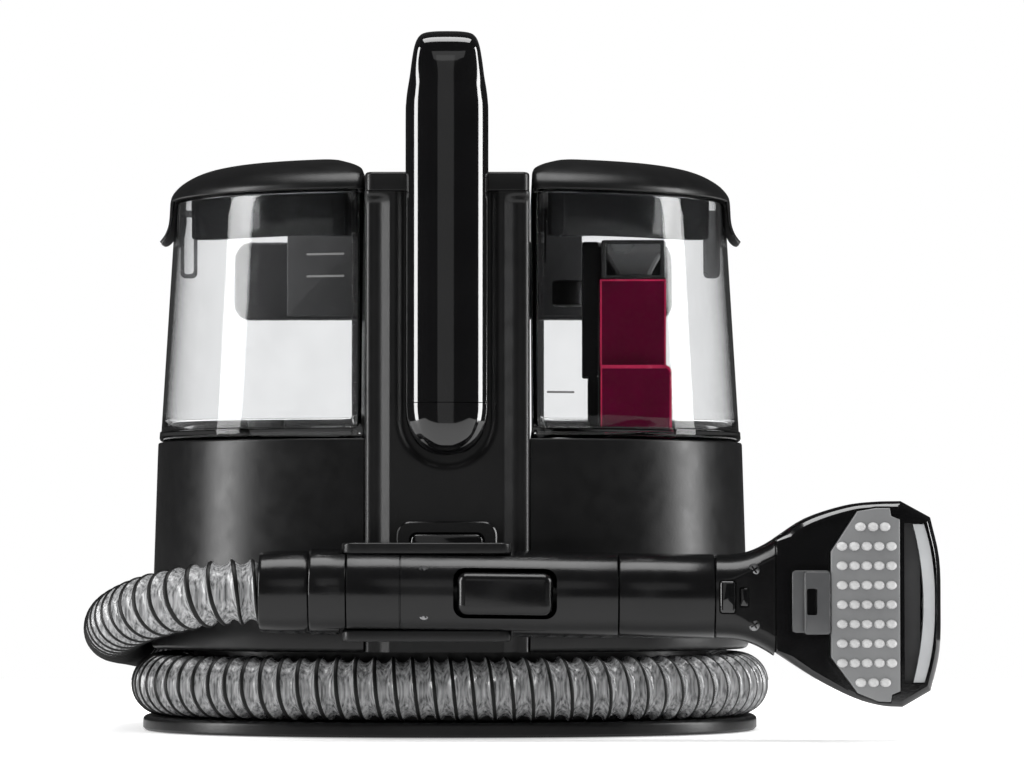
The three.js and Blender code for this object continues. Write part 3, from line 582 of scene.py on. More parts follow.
def notched_ring(a, b, wall, z, count=150):
    """The housing's wall as one closed ring, open at the front where the column stands."""
    notch = COLUMN["half"] + 0.3
    ring = []
    for inner in (False, True):
        p, q = (a - wall, b - wall) if inner else (a, b)
        limit = acos((notch / p) ** (POWER / 2))
        angles = [-limit + (pi + 2 * limit) * i / count for i in range(count + 1)]
        side = [(*oval_point(p, q, angle), z) for angle in angles]
        ring.extend(side[::-1] if inner else side)
    return ring


def make_housing():
    a, b, a_top, b_top, low, high = HOUSING.values()
    wall = 2.6
    rings = []
    for up, off in ((0, 2.2), (0.5, 1.1), (1.3, 0.3), (2.4, 0)):
        rings.append(notched_ring(a - off, b - off, wall, low + up))
    for i in range(1, 13):
        t = i / 13
        level = low + 2.4 + (high - low - 2.4) * t
        rings.append(notched_ring(a + (a_top - a) * t, b + (b_top - b) * t, wall, level))
    for down, off in ((1.1, 0), (0.5, 0.12), (0.15, 0.4), (0, 0.9)):
        rings.append(notched_ring(a_top - off, b_top - off, wall - off, high - down))
    inside = notched_ring(a - 2.4, b - 2.4, 1, 0)
    notch, foot = COLUMN["half"] + 0.3, COLUMN["foot"] + 0.2
    floor = [(x, y) for x, y, _ in inside[:len(inside) // 2]] + [(-notch, foot), (notch, foot)]
    floor_plate = slab(floor, "z", low + 0.4, low + 3)
    piece("housing_shell", merged(loft(rings), floor_plate), "satin", "root", "lower_housing")


def make_drum():
    a, b, low, high = DRUM.values()
    wall = 3
    rings = [oval_ring(a, b, low), oval_ring(a, b, high), oval_ring(a - wall, b - wall, high),
             oval_ring(a - wall, b - wall, low)]
    piece("hose_drum_wall", loft(rings, looped=True), "satin", "root", "hose_drum")


# ---------- column, handle and dock

def column_face(x, z):
    """Depth of the column's front: soft corners, two long bevel channels and the scoop behind the handle."""
    wide = abs(x)
    y = COLUMN["front"]
    corner = 4.0
    edge = COLUMN["half"] - corner
    if wide > edge:
        y += corner - sqrt(max(0.0, corner ** 2 - (wide - edge) ** 2))
    fade = 1 - blend_step(z, 254, 257.5)
    straight = min(4.2, max(0, wide - 26.8))
    easing = min(3.2, max(0, wide - 31))
    y += 0.66 * fade * (straight + easing - easing ** 2 / 6.4)
    from_axis = wide if z > SCOOP["middle"] else hypot(x, z - SCOOP["middle"])
    y += SCOOP["depth"] * (1 - blend_step(from_axis, SCOOP["inner"], SCOOP["outer"]))
    y += 4.2 * (1 - blend_step(box_distance(x, z, (0, 90.25), (18.6, 7.3), 3), -0.6, 0.4))
    return y


def make_column():
    half, step, wall, back_of_face = COLUMN["half"], COLUMN["step"], 2.5, -107
    xs = [*np.linspace(-half, -35, 9), *np.linspace(-34.4, 34.4, 129), *np.linspace(35, half, 9)]
    below = [*np.arange(COLUMN["bottom"], step - 0.05, 1.0), step - 0.05]
    above = [step + 0.05, *np.arange(step + 0.95, COLUMN["top"] - 0.1, 1.2), COLUMN["top"]]
    rings = []
    for z in below + above:
        rear = COLUMN["foot"] if z < step else -0.3
        front = [(x, column_face(x, z), z) for x in xs]
        rings.append([(-half, rear, z), *front, (half, rear, z), (half - wall, rear, z),
                      (half - wall, back_of_face, z), (-half + wall, back_of_face, z), (-half + wall, rear, z)])
    piece("column_front_shell", loft(rings), "satin", "root", "column_front_cover", sharp=50)
    cap = rounded(-39.1, 39.1, COLUMN["front"], COLUMN["rear"], 4.5)
    piece("column_cap", slab(cap, "z", 259, COLUMN["cap"], 0.4, 1.6), "satin", "root", "column_top_cap")


# Half of the handle's section, from the middle of the front face round to the back, as (across, through)
# in -1..1, for the legs and for the top.
LEG_SECTION = [
    (0, -1), (0.17, -0.998), (0.306, -0.97), (0.459, -0.863), (0.612, -0.67), (0.73, -0.453),
    (0.842, -0.151), (0.934, 0.18), (0.99, 0.46), (1.0, 0.62), (0.97, 0.82), (0.86, 0.95), (0.6, 1.0),
    (0.3, 1.0)]
TOP_SECTION = [
    (0, -1), (0.3, -0.995), (0.55, -0.97), (0.72, -0.92), (0.82, -0.84), (0.9, -0.7), (0.95, -0.5),
    (0.98, -0.25), (1, 0), (1, 0.3), (0.97, 0.62), (0.88, 0.86), (0.66, 0.98), (0.3, 1)]


def handle_ring(row):
    """A ring between the handle's outer and inner faces, domed on the legs and flatter on top."""
    outer_y, outer_z, inner_y, inner_z, width = row
    flat = blend_step(outer_z, 312, 334)
    right = [tuple(a * (1 - flat) + b * flat for a, b in zip(leg, top))
             for leg, top in zip(LEG_SECTION, TOP_SECTION)]
    half = right + [(-u, v) for u, v in reversed(right[1:])]
    section = smooth_rows(half + half[:1], 3)[:-1]
    depth, rise = (inner_y - outer_y) / 2, (inner_z - outer_z) / 2
    return [(width / 2 * u, outer_y + depth * (v + 1), outer_z + rise * (v + 1)) for u, v in section]


def make_handle():
    front, back, width, seam = HANDLE["front"], HANDLE["back"], 2 * HANDLE["half"], HANDLE["seam"]
    # Outer face (y, z), inner face (y, z) and width, up the front leg, over the top and down the rear leg.
    rows = [(front, seam, back, seam, width), (front, 215, back, 215, width), (front, 270, back, 270, width),
            (front, 298, back, 294, width), (front, 307, back + 0.1, 298.6, 38.8),
            (front, 316, -114.9, 303, 37.6), (-128.4, 324.6, -112.8, 306.6, 35.2),
            (-125, 330.6, -109.5, 309, 33.6), (-118, 334.2, -104.5, 310.6, 32), (-107, 335.6, -98, 311, 31),
            (-90, 335.8, -88, 311, 30), (-60, 335.8, -60, 311, 29.4), (-12, 335.8, -12, 311, 29.4),
            (35, 335.8, 35, 311, 29.4), (61.5, 331.4, 52, 309.4, 30), (83, 315, 64.5, 301.5, 31.5),
            (94.2, 291, 71.8, 287, 33), (96, 268.3, 74, 268.3, 34)]
    arch = loft([handle_ring(row) for row in smooth_rows(rows, 6)])
    piece("handle_shell", arch, "gloss", "root", "handle_arch", sharp=55)
    # The tip below the seam: a rounded end in front view that also curves back towards the column.
    tip_top = seam - 0.35
    height = tip_top - HANDLE["bottom"]
    end, side_power, front_power = 0.03, 2.3, 2.6
    rings = []
    for i in range(33):
        down = cos(end + (pi / 2 - end) * i / 32)
        z = tip_top - height * down
        narrow = (1 - down ** side_power) ** (1 / side_power)
        push = 0.95 * (back - front) * (1 - (1 - down ** front_power) ** (1 / front_power))
        rings.append(handle_ring((front + push, z, back, z, width * narrow)))
    piece("handle_tip", loft(rings), "gloss", "root", "handle_end_cap", sharp=55)


def make_dock():
    left, right, front, back, plate = JAWS.values()
    outline = rounded(left, right, front, back, 5.5)
    key_room = slab(rounded(-17.6, 17.6, -119.3, -110, 0.8), "z", 84, 95)
    upper, lower = (slab(outline, "z", z, z + 5.4, 1.1, 1.1) for z in (86.6, 46))
    parts = [carved(upper, key_room), lower]
    for x0, x1, z0, z1 in ((left, right, 46.5, 79.7), (left, -24.2, 50, 91.5), (24.2, right, 50, 91.5)):
        parts.append(slab(rounded(x0, x1, z0, z1, 1), "y", plate, back, 0.3, 0))
    piece("dock_jaws", merged(*parts), "satin", "root", "tool_dock")


def frame_slab(outer, inner, front, back, round_off=0.6):
    """A flat frame facing -Y: the outer outline with the inner one, of as many points, as its hole."""
    rings = [facing("y", outer, level, off)
             for level, off in ((back, 0), (front + round_off, 0), (front, round_off))]
    rings += [facing("y", inner, level, off)
              for level, off in ((front, -round_off), (front + round_off, 0), (back, 0))]
    return loft(rings, looped=True)


def make_switch():
    outer = rounded(-23.7, 23.7, 80, 102, 6.5)
    inner = rounded(-17.4, 17.4, 84.1, 96.4, 3.2)
    piece("switch_frame", frame_slab(outer, inner, -117.8, JAWS["back"]), "tool", "root", "switch_bezel")
    key = slab(rounded(-17, 17, 84.5, 96, 3), "y", JAWS["plate"], -113.2, 1.2, 0)
    piece("power_key", key, "gloss", "power_button", "power_button")


def make_cable_wrap():
    plate = slab(rounded(-117, 117, 210, 251, 9, 10), "y", 110, 116, 1.5, 2.2)
    boss = slab(rounded(-30, 30, 216, 245, 6, 8), "y", 104.3, 110.5)
    piece("cable_wrap_wings", merged(plate, boss), "dusk", "root", "cable_wrap")
    # The left pad wears the lighter copy, a painted reflection; the right one the plain black.
    for name, x0, x1, look in (("left", -88, -41, "dusk_pad"), ("right", 41, 68, "dusk")):
        pad = slab(rounded(x0, x1, 212, 262, 1.2, 4), "y", 108.6, 110.4, 0.4, 0)
        piece(f"cable_wrap_{name}_pad", pad, look, "root")


# ---------- tanks and lids

def tank_size(z):
    """The half lengths of the tanks' oval at a height."""
    t = (z - TANK["bottom"]) / (TANK["top"] - TANK["bottom"])
    return TANK["a"] + (TANK["a_top"] - TANK["a"]) * t, TANK["b"] + (TANK["b_top"] - TANK["b"]) * t


def tank_ring(side, z, off, corner=4.0):
    a, b = tank_size(z)
    return half_ring(side, a - off, b - off, TANK["inner"] + off, z, corner)


def make_tank(side, body):
    low, high, wall = TANK["bottom"], TANK["top"], TANK["wall"]
    # Height, distance in from the outer face and corner radius: up the outside, then down the inside.
    rows = [(low, 1.6, 4), (low + 0.5, 0.6, 4), (low + 1.6, 0, 4), (low + 4.6, 0, 4), (low + 5.2, 0.7, 4)]
    rows += [(low + 5.2 + (high - low - 6.4) * i / 13, 0.7 * (1 - i / 13), 4) for i in range(1, 14)]
    rows += [(high - 0.3, 0.3, 4), (high, 0.8, 4), (high, wall - 0.5, 4)]
    rows += [(high - 0.6 - (high - low - 6.6) * i / 12, wall, 3) for i in range(12)]
    rows += [(low + 6.0, wall, 3), (low + 4.4, wall + 0.8, 3), (low + 3.8, wall + 2.4, 3)]
    ears = []
    for near, far in ((-35.4, -32), (32, 35.4)):
        outline = [(-side * u, v) for u, v in rounded(-45.8, -41, 245, 270.6, 2.3, 5)]
        ears.append(slab(outline, "y", near, far, 0.3, 0.3, 2))
    tank = loft([tank_ring(side, *row) for row in rows])
    piece(f"{body}_shell", merged(tank, *ears), "clear", body, body)


# Height, half length, half depth and inner edge of the lid's dome, from its rim to its top.
LID_ROWS = [
    (261.3, 139, 103.8, 40.3), (262, 139.6, 104.4, 40.3), (264, 139.2, 104, 40.3),
    (266.5, 137.6, 102.4, 40.3), (269.5, 134.6, 99.4, 40.5), (272.5, 130, 94.6, 41.8),
    (274.9, 124.8, 89.2, 45.6), (276.8, 118.6, 82, 49.8), (278.4, 110.4, 73, 53),
    (279.6, 99.6, 60.6, 55.2), (280.4, 87, 46, 56.6), (280.6, 79, 39, 57.4)]


def pull_tab(side):
    """The lid's outer lip, which drops over the tank's edge and flares out."""
    # Middle line (x, z) and half thickness, from the dome to the lip's tip.
    centre = [(137, 264.6, 1.5), (138.6, 262, 1.3), (139.3, 258, 0.95), (139.7, 253, 0.85),
              (140.4, 249, 0.85), (141.9, 245.2, 0.85), (143.9, 242.4, 0.8), (144.8, 241.7, 0.7)]
    rows = smooth_rows(centre, 4)
    last = len(rows) - 1
    rings = []
    width = 20
    for k, (x, z, thick) in enumerate(rows):
        after, before = rows[min(k + 1, last)], rows[max(k - 1, 0)]
        nx, nz = after[0] - before[0], after[1] - before[1]
        size = hypot(nx, nz)
        narrow = width - 5 * blend_step(k / last, 0.75, 1.0)
        ring = []
        for angle in around_circle(28):
            u, v = thick * signed(sin(angle), 0.7), narrow * signed(cos(angle), 0.25)
            bow = 1.6 * (v / width) ** 2
            ring.append((side * (x - nz / size * u - bow), v, z + nx / size * u))
        rings.append(ring if side > 0 else ring[::-1])
    return loft(rings)


def make_lid(side, prefix):
    lid, rows = f"{prefix}_lid", smooth_rows(LID_ROWS, 3)
    under = [rows[k] + np.array((-2.2, -2.4, -2.4, 2.6)) for k in range(len(rows) - 6, 4, -4)]
    rings = [half_ring(side, a, b, cut, z, 6) for z, a, b, cut in under]
    rings.append(half_ring(side, 136.4, 101.2, 43, 261.3, 3))
    rings += [half_ring(side, a, b, cut, z, 4 if z < 270 else 6) for z, a, b, cut in rows]
    knuckle = turned([(1.6, -31), (3.0, -31), (3.0, 31), (1.6, 31)], "y", (side * 44, 268), 24)
    u0, u1 = sorted((side * 38.5, side * 49))
    ear_gaps = [slab(box_outline(u0, u1, *gap), "z", 255, 272.6) for gap in ((-36, -31.5), (31.5, 36))]
    dome = merged(carved(loft(rings), *ear_gaps), knuckle, pull_tab(side))
    piece(f"{lid}_dome", dome, "satin", lid, lid, sharp=30)
    skirt = []
    for z, off in ((240, 0.4), (240.6, 0), (261, 0), (261, 2.2), (240.6, 2.2), (240, 1.8)):
        ring = half_ring(side, 129.3 - off, 91.6 - off, 48 + off, z, 6)
        # The rim is shallower towards the back.
        skirt.append([(x, y, z + 12 * blend_step(y, -60, 70) if z < 250 else z) for x, y, z in ring])
    piece(f"{lid}_rim", loft(skirt, looped=True), "smoked", lid, f"{lid}_skirt")


# ---------- carving

def plain_object(data):
    mesh = bpy.data.meshes.new("blank")
    mesh.from_pydata(data[0], [], data[1])
    mesh.update()
    return placed("blank", mesh)


def carved(body, *cutters, mode="DIFFERENCE"):
    """The body with each cutter's shape taken out of it (or joined to it)."""
    first = plain_object(body)
    others = [plain_object(cutter) for cutter in cutters]
    for other in others:
        step = first.modifiers.new("step", "BOOLEAN")
        step.operation = mode
        step.solver = "EXACT"
        step.object = other
    bpy.context.view_layer.update()
    result = bpy.data.meshes.new_from_object(first.evaluated_get(bpy.context.evaluated_depsgraph_get()))
    data = ([tuple(v.co) for v in result.vertices], [tuple(f.vertices) for f in result.polygons])
    for obj in [first, *others]:
        old = obj.data
        bpy.data.objects.remove(obj)
        bpy.data.meshes.remove(old)
    bpy.data.meshes.remove(result)
    return data


def soften(obj, width=0.35, segments=2, angle=40):
    """A small rounding along the sharp edges."""
    bevel = obj.modifiers.new("edge", "BEVEL")
    bevel.width = width * MM
    bevel.segments = segments
    bevel.limit_method = "ANGLE"
    bevel.angle_limit = radians(angle)
    bevel.harden_normals = True
    return obj


def leaned(data):
    """The docked tool hangs a little lower towards its nozzle."""
    return [(x, y, z - 0.4 - 0.0125 * (x + 10)) for x, y, z in data[0]], data[1]


def peg(x, z, radius, low, high):
    return turned([(0.01, low), (radius, low), (radius, high), (0.01, high)], "y", (x, z), 24)


def tool_slab(outline, high, low=CLEAR_OF_TOOL, low_round=0):
    """A slab facing the tool's front. As a cutter it starts clear of the tool."""
    return slab(outline, "y", low, high, low_round)


# ---------- hand tool

def barrel(profile):
    return turned(profile, "x", (TOOL_Y, TOOL_Z), 96)


def flats():
    """Room above and below the grip where the dock's jaws hold it."""
    outline = rounded(-49.5, 31.5, -175, -105, 0.5, 1)
    return [slab(outline, "z", 86.6, 100), slab(outline, "z", 36, 52.2)]


def half_barrel(side):
    """Half of the grip's tube along X, its rounded ends kept crisp, with a hairline groove round it."""
    radius, inner, left, right, groove = (GRIP[k] for k in ("radius", "inner", "left", "right", "groove"))
    levels = [(left, radius - 0.5), (left + 0.15, radius - 0.15), (left + 0.5, radius), (groove - 0.45, radius),
              (groove - 0.2, radius - 0.4), (groove + 0.2, radius - 0.4), (groove + 0.45, radius),
              (right - 0.5, radius), (right - 0.15, radius - 0.15), (right, radius - 0.5)]
    angles = [radians(-90 + 180 * i / 64) for i in range(65)]
    rings = []
    for x, outer in levels:
        ring = [(x, TOOL_Y + side * (0.12 + r * cos(t)), TOOL_Z + r * sin(t))
                for r, arc in ((outer, angles), (inner, angles[::-1])) for t in arc]
        rings.append(ring if side > 0 else ring[::-1])
    return loft(rings)


def screw_heights(place):
    return TOOL_Z - place["screw_gap"], TOOL_Z + place["screw_gap"]


def cross_screws(prefix, place, face, node):
    """Two pan heads with cross recesses, one above the other, sunk in their holes."""
    x = place["screw_x"]
    for number, z in enumerate(screw_heights(place), 1):
        head = turned([(0.01, face + 0.1), (1.6, face + 0.15), (2.5, face + 0.55), (2.85, face + 1.2),
                       (2.85, face + 4), (0.01, face + 4)], "y", (x, z), 36)
        bars = []
        for turn in (35, 125):
            c, s = cos(radians(turn)), sin(radians(turn))
            outline = [(x + u * c - v * s, z + u * s + v * c) for u, v in box_outline(-1.9, 1.9, -0.36, 0.36)]
            bars.append(slab(outline, "y", face - 1, face + 1.3))
        data = leaned(carved(head, *bars))
        piece(f"{prefix}_{number}", data, "steel", "hand_tool", f"{node}_{number}", sharp=30)


def make_grip():
    rings = barrel([(12, -63.6), (19.2, -63.6), (19.75, -63.2), (20, -62.4), (20, -46.9), (19.75, -46.5),
                    (19.3, -46.3), (12, -46.3)])
    vent_x, vent_z = -51.5, 68.9
    collar = carved(rings, *flats(), peg(vent_x, vent_z, 2.4, -170, -154))
    collar = merged(collar, peg(vent_x, vent_z, 1.7, -158.2, -155))
    soften(piece("tool_collar", leaned(collar), "tool", "hand_tool", "swivel_ring"), 0.3)

    slot = tool_slab(rounded(3.6, 51.6, 57.6, 81, 5.5, 8), TOOL_Y - 6)
    holes = [peg(GRIP["screw_x"], z, 3.25, CLEAR_OF_TOOL, -148) for z in screw_heights(GRIP)]
    shell = leaned(carved(half_barrel(-1), slot, *holes, *flats()))
    soften(piece("grip_front", shell, "tool", "hand_tool", "grip_front_shell"), 0.45, 3)
    rear = leaned(carved(half_barrel(1), *flats()))
    soften(piece("grip_rear", rear, "tool", "hand_tool", "grip_rear_shell"), 0.3)
    cross_screws("grip_cross_screw", GRIP, -157.2, "grip_screw")

    outline = rounded(5.4, 49.8, 59.2, 79, 4.6, 8)
    face = ((-151, 0), (-157.6, 0), (-158.8, 0.35), (-159.9, 1.1), (-160.8, 2.3), (-161.3, 3.6))
    key = leaned(loft([facing("y", outline, level, off) for level, off in face]))
    piece("trigger_key", key, "tool", "trigger", "trigger", slot="gloss_black", sharp=50)


def make_cuff():
    profile = [(12, -87), (17.3, -87), (18.2, -86.8), (18.6, -86.2), (18.75, -85.2), (19, -82), (19.3, -78),
               (19.4, -70), (19.3, -66), (19.1, -64.4), (18.7, -63.9), (12, -63.9)]
    data = barrel(profile)
    return piece("hose_end_cuff", data, "tool", "hose_cuff", "hose_cuff", slot="gloss_black", sharp=50)


def make_sleeve():
    profile = [(12, 80.3), (19, 80.3), (19.45, 80.6), (SLEEVE_RADIUS, 81.2), (SLEEVE_RADIUS, 124.3),
               (19.4, 124.8), (18.9, 125), (12, 125)]
    piece("tool_tube", leaned(barrel(profile)), "tool", "hand_tool", "tool_sleeve", sharp=50)


def make_neck():
    # Along the tool, and half the neck's height: it flares from the sleeve to the nozzle.
    rows = [(125.3, 19), (125.7, 19.5), (126.4, 19.7), (132, 19.75), (137, 20.3), (141, 21.3), (145, 22.9),
            (149, 25), (152.2, 27), (152.8, 27.2)]
    rings = []
    for x, half in smooth_rows(rows, 4):
        # The front is cut flat, and the flat comes back towards the nozzle.
        flat = 18.6 - 3.6 * blend_step(x, 128, 152) if x > 128 else 30
        rings.append([(x, TOOL_Y + max(-flat, SLEEVE_RADIUS * signed(cos(angle), 0.92)),
                       TOOL_Z + half * signed(sin(angle), 0.92)) for angle in around_circle(128)])
    pocket = tool_slab(rounded(126.6, 134.6, 61.1, 76.9, 1.6, 4), -152.2)
    catch = tool_slab(rounded(135.8, 140.8, 64.2, 73.8, 1.2, 4), -154.9)
    hole = [(0.01, CLEAR_OF_TOOL), (4.6, CLEAR_OF_TOOL), (3.4, -156.6), (3.2, -149.4), (0.01, -149.4)]
    holes = [turned(hole, "y", (NECK["screw_x"], z), 32) for z in screw_heights(NECK)]
    neck = leaned(carved(loft(rings), pocket, catch, *holes))
    soften(piece("tool_neck_shell", neck, "tool", "hand_tool", "tool_neck"), 0.3)
    latch = tool_slab(rounded(136.2, 140.4, 64.7, 73.3, 0.9, 4), -154.6, -157.2, 0.8)
    piece("neck_catch", leaned(latch), "gloss", "hand_tool", sharp=50)
    button = tool_slab(rounded(127, 134.2, 61.6, 76.4, 1.4, 5), -154.9, -160.4, 1.3)
    piece("nozzle_lock_button", leaned(button), "gloss", "lock_button", "lock_button", sharp=50)
    cross_screws("neck_cross_screw", NECK, -156.4, "neck_screw")


# ---------- nozzle

# The head's outline in front view, in three smooth runs, and the brush plate's.
HEAD_TOP = [(153.1, 94.2), (167.5, 103.4), (185.5, 109.3), (198, 110.9), (210.4, 111.2)]
HEAD_MOUTH = [(224.1, 103.7), (228.2, 85), (228.8, 64), (228.2, 42), (224.1, 23.7)]
HEAD_BOTTOM = [(211, 16.1), (201, 16.8), (188, 20.6), (170, 29.8), (153.1, 41)]
PLATE_OUTLINE = [
    (177.8, 87.8), (177.8, 39.2), (190, 22.7), (199.6, 18.9), (205.2, 18.7), (205.8, 22), (209.6, 23.6),
    (209.6, 102.6), (205.6, 104.2), (205, 107.9), (198.6, 107.9), (190, 106.4)]


def grown(outline, distance):
    """The outline scaled about its middle so that it grows by about the distance."""
    us, vs = zip(*outline)
    cu, cv = sum(us) / len(us), sum(vs) / len(vs)
    grow_u, grow_v = (1 + 2 * distance / (max(values) - min(values)) for values in (us, vs))
    return [(cu + (u - cu) * grow_u, cv + (v - cv) * grow_v) for u, v in outline]


def lip_outline(margin, left=None):
    """The curved window of the suction slot, or the opening around it."""
    rows = [-36.5 - margin + (73 + 2 * margin) * i / 20 for i in range(21)]
    right = [(226.0 + margin - 5.6 * abs(row / 38.4) ** 2.4, 64 + row) for row in rows]
    inner = [(left or 220.8 - 4.95 * (row / 37) ** 2, 64 + row) for row in reversed(rows)]
    return right + inner


def make_nozzle():
    outline = [p for part in (HEAD_TOP, HEAD_MOUTH, HEAD_BOTTOM) for p in smooth_rows(part, 4)]
    outline = counter_clockwise(outline)
    rings = []
    # The end at the neck stays where it is while the rest narrows towards both faces.
    for level, off in ((-122, 6), (-125, 2.5), (-130, 0.6), (-138, 0), (-160.4, 0), (-161.2, 0.25),
                       (-163.3, 1.9), (-163.9, 2.6)):
        rings.append([(NECK["end"] if keep[0] < NECK["end"] + 0.4 else u, level, v)
                      for keep, (u, v) in zip(outline, grown(outline, -off))])
    pocket = tool_slab(grown(PLATE_OUTLINE, 0.8), -158)
    shelf = tool_slab([(156.5, 88.5), (169, 100.2), (186.2, 104.6), (175.6, 88.4), (175.6, 38.6), (186.2, 23.6),
                       (169, 33.4), (156.5, 44.5)], -162.9)
    well = tool_slab(rounded(158.4, 178.2, 47.8, 81.6, 2.5, 5), -161.6)
    mouth = tool_slab(lip_outline(0.5, 211.8), -128)
    nozzle = carved(loft(rings), pocket, shelf, well, mouth)
    soften(piece("nozzle_shell", nozzle, "nozzle", "nozzle", "nozzle_head", sharp=30), 0.35, 2, 25)
    strip = tool_slab(lip_outline(0), -146, -162.4)
    piece("nozzle_lip_window", strip, "window", "nozzle", "nozzle_window")
    channel = tool_slab(rounded(212.2, 219.5, 26.4, 101.6, 0.6, 2), -157, -158.5)
    piece("nozzle_channel_cover", channel, "inner", "nozzle", slot="smoked_plastic")


def make_brush():
    plate = slab(PLATE_OUTLINE, "y", -166.5, -158.4, 0.7, 0, 3)
    nubs = []
    for row in range(9):
        z = 99.3 - 8.96 * row
        xs = [191.3, 197.1, 202.6] if row in (0, 8) else [182.8 + 5.68 * k for k in range(5)]
        nubs += [nub(x, z) for x in xs]
    brush = piece("brush_pad", merged(plate, *nubs), ("grey", "nub"), "brush", "brush_plate", sharp=50)
    plate_face = -0.16655
    for polygon in brush.data.polygons:
        centre_y = sum(brush.data.vertices[i].co.y for i in polygon.vertices) / len(polygon.vertices)
        polygon.material_index = 1 if centre_y < plate_face else 0
    base = tool_slab(rounded(160, 177.6, 50.4, 79.2, 1.8, 5), -162.6, -165.4, 0.6)
    tongue = tool_slab(rounded(165.4, 177.6, 49.6, 78.8, 1.6, 5), -162.6, -167.3, 1.0)
    slot = tool_slab(rounded(166.6, 171.4, 58.6, 70.8, 0.8, 3), -160)
    latch = carved(carved(base, tongue, mode="UNION"), slot)
    piece("brush_latch_tab", latch, "latch", "brush", "brush_latch", sharp=40)


def nub(x, z):
    """A short oval bristle tuft, as a dome."""
    rings = []
    for i in range(5, -1, -1):
        t = pi / 2 * i / 5
        width, height = cos(t) * 0.98 + 0.02, sin(t)
        ring = [(x + 0.5 * height + 2.55 * width * cos(a), -166.3 - 2.3 * height,
                 z - 0.3 * height + 2.1 * width * sin(a)) for a in around_circle(18)]
        rings.append(ring[::-1])
    return loft(rings)


# ---------- inside the tanks

def make_inlet_tower():
    tower = slab(box_outline(73.5, 105.5, -57.5, -12), "z", 145.9, 220.4)
    room = slab(box_outline(75.5, 103.5, -55.5, -14), "z", 140, 230)
    apron = slab([(73.5, 145.9), (107.7, 145.9), (107.7, 173.5), (107.4, 175.6), (106.5, 177.1), (105.2, 177.8),
                  (103.5, 178), (73.5, 178)], "y", -72, -57)
    apron_room = slab(box_outline(75.5, 105.7, 140, 176), "y", -70, -50)
    box = carved(carved(tower, room), carved(apron, apron_room), mode="UNION")
    piece("inlet_tower_box", box, "red", "dirty_tank", "inlet_tower")
    # Painted highlights: brighter red lines along the front edges of the tower and, nearer, of its apron.
    tower_highlight_lines = ((73.5, 74.4, 178, 220.4), (104.6, 105.5, 178, 220.4), (74.4, 104.6, 219.5, 220.4))
    apron_highlight_lines = ((73.5, 74.2, 145.9, 177), (106.6, 107.7, 145.9, 173.5), (73.5, 104.4, 176.3, 178))
    bars = []
    for face, highlight_lines in ((-57.9, tower_highlight_lines), (-72.4, apron_highlight_lines)):
        bars += [slab(rounded(*highlight_line, 0.2, 1), "y", face, face + 1.5) for highlight_line in highlight_lines]
    arc = [(103.9 + r * cos(pi / 16 * k), 174.2 + r * sin(pi / 16 * k))
           for r, steps in ((3.8, range(9)), (2.5, range(8, -1, -1))) for k in steps]
    bars.append(slab(arc, "y", -72.4, -71))
    piece("inlet_tower_painted_highlights", merged(*bars), "red_edge", "dirty_tank")


def make_inlet_guide():
    # Half width, half depth and height: up the outside of the funnel, then down its inside.
    rows = [(8, 14, 220.6), (9.5, 16, 225), (13, 20, 231.5), (15.4, 22.4, 234), (15.4, 22.4, 239),
            (13.9, 20.9, 239), (13.9, 20.9, 234.6), (11.6, 18.6, 231.8), (8.2, 14.6, 225.6), (6.6, 12.6, 220.6)]
    rings = [facing("z", rounded(90 - half_x, 90 + half_x, -35 - half_y, -35 + half_y, 3, 4), z)
             for half_x, half_y, z in rows]
    guide = piece("inlet_guide", loft(rings, looped=True), "frost", "dirty_tank", "inlet_funnel", sharp=30)
    soften(guide, 0.4, 2, 25)
    outer, inner = rounded(74.2, 105.2, 220.8, 239.6, 1.2, 3), rounded(76.6, 102.8, 222.4, 237.6, 0.8, 3)
    rim = frame_slab(outer, inner, -57.9, -55.5)
    piece("inlet_rim", rim, "inner", "dirty_tank")
    # Dark panels of painted shade beside the tower and behind the funnel.
    painted_shade_panels = [slab(rounded(65.5, 73, 173.8, 240, 0.8, 2), "y", -40, -14),
              slab(rounded(68.3, 73, 146, 173.8, 0.4, 2), "y", -40, -14),
              slab(rounded(66.5, 108.5, 220.8, 239.6, 0.8, 2), "y", -11.5, -9.5)]
    piece("inlet_painted_shade_panel", merged(*painted_shade_panels), "shadow", "dirty_tank")


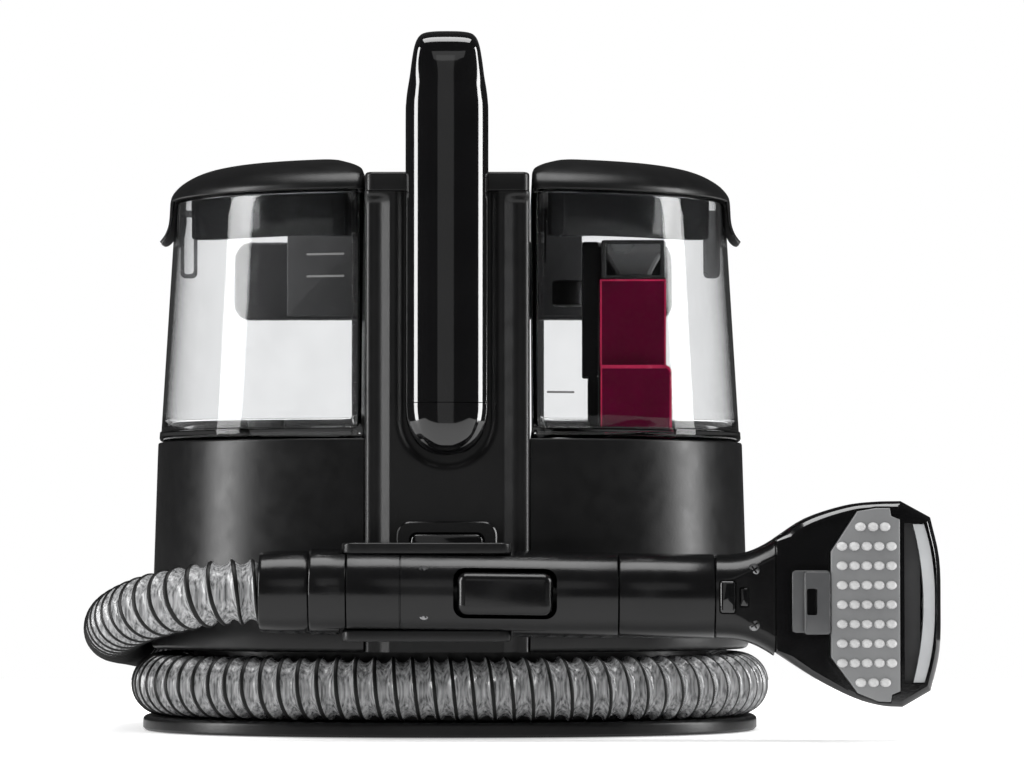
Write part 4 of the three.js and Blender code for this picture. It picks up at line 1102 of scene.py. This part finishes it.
def make_tank_details():
    # The float wears the painted-shadow black instead of its own grey.
    bob = turned([(2.6, 213.1), (7.6, 213.1), (8.7, 213.9), (9, 215.2), (9, 224), (8.7, 225.2), (7.6, 226),
                  (2.6, 226)], "z", (60, 40), 40)
    piece("float_ball", bob, "shadow", "float", "float", slot="grey_plastic")
    # A dark sheet of painted shade beside each lid's hinge, and the rib that stiffens each tank behind the pull
    # tab.
    for side, tank in SIDES:
        near, far = sorted((side * 44.6, side * 47.6))
        painted_shade_sheet = slab(rounded(near, far, 236, 262, 0.3, 1), "y", 56, 58)
        piece(f"{tank}_tank_baffle", painted_shade_sheet, "shadow", f"{tank}_tank")
        low, high = sorted((side * 126.2, side * 134.6))
        outer = slab(rounded(low, high, 224, 256, 2.6, 5), "y", -12, -9)
        back = -10.6 if side > 0 else -5
        hollow = slab(rounded(low + 1.6, high - 1.6, 226, 254, 1.6, 4), "y", -14, back)
        piece(f"{tank}_tank_latch_rib", carved(outer, hollow), "frost", f"{tank}_tank", sharp=30)


def level_mark(name, x0, x1, z, body):
    """A fine raised line on the tank's front wall."""
    a, b = tank_size(z)
    rows = []
    for i in range(17):
        x = x0 + (x1 - x0) * i / 16
        y = -b * (1 - (abs(x) / a) ** POWER) ** (1 / POWER)
        rows.append([(x, y + dy, z + dz) for dy, dz in box_outline(-0.15, 0.3, -0.5, 0.5)])
    piece(name, loft(rows), "mark", body)


# ---------- pieces whose shape comes from the frame

def dress_frame():
    """Materials and soft edges for the pieces kept as they were machined."""
    looks = {"satin": ["tank_deck", "exhaust_grille", "column_rear_cover", "hose_port"],
             "rubber": ["foot_1", "foot_2", "foot_3", "foot_4", "cord_gland"],
             "inner": ["power_switch", "fan_housing", "suction_duct", "water_pump", "inlet_duct",
                       "trigger_valve"],
             "clear": ["pump_inlet_tube", "solution_tube"],
             "steel": ["motor_can", "clean_hinge_pin", "dirty_hinge_pin", "spray_tip"],
             "grey": ["fan_impeller", "outlet_valve"]}
    for look, nodes in looks.items():
        for node in nodes:
            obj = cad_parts[node]
            obj.data.materials.clear()
            obj.data.materials.append(mats[look])
            obj.data.shade_smooth()
            obj.data.set_sharp_from_angle(angle=radians(32))
            soften(obj, 0.3, 2, 35)


# ---------- run

scene.view_settings.view_transform = "Standard"
make_camera()
hose, hose_path, hose_length = make_hose()
cuff = make_cuff()
make_lights()
make_world()
make_floor()
make_base()
make_drum()
make_housing()
make_column()
make_handle()
make_dock()
make_switch()
make_cable_wrap()
for one_side, content in SIDES:
    make_tank(one_side, f"{content}_tank")
make_inlet_tower()
make_inlet_guide()
make_tank_details()
for one_side, content in SIDES:
    make_lid(one_side, content)
level_mark("clean_level_upper", -67.5, -49.4, 230, "clean_tank")
level_mark("clean_level_lower", -67.5, -49.4, 219.4, "clean_tank")
level_mark("dirty_level", 47.5, 60.5, 163.8, "dirty_tank")
make_grip()
make_sleeve()
make_neck()
make_nozzle()
make_brush()
dress_frame()
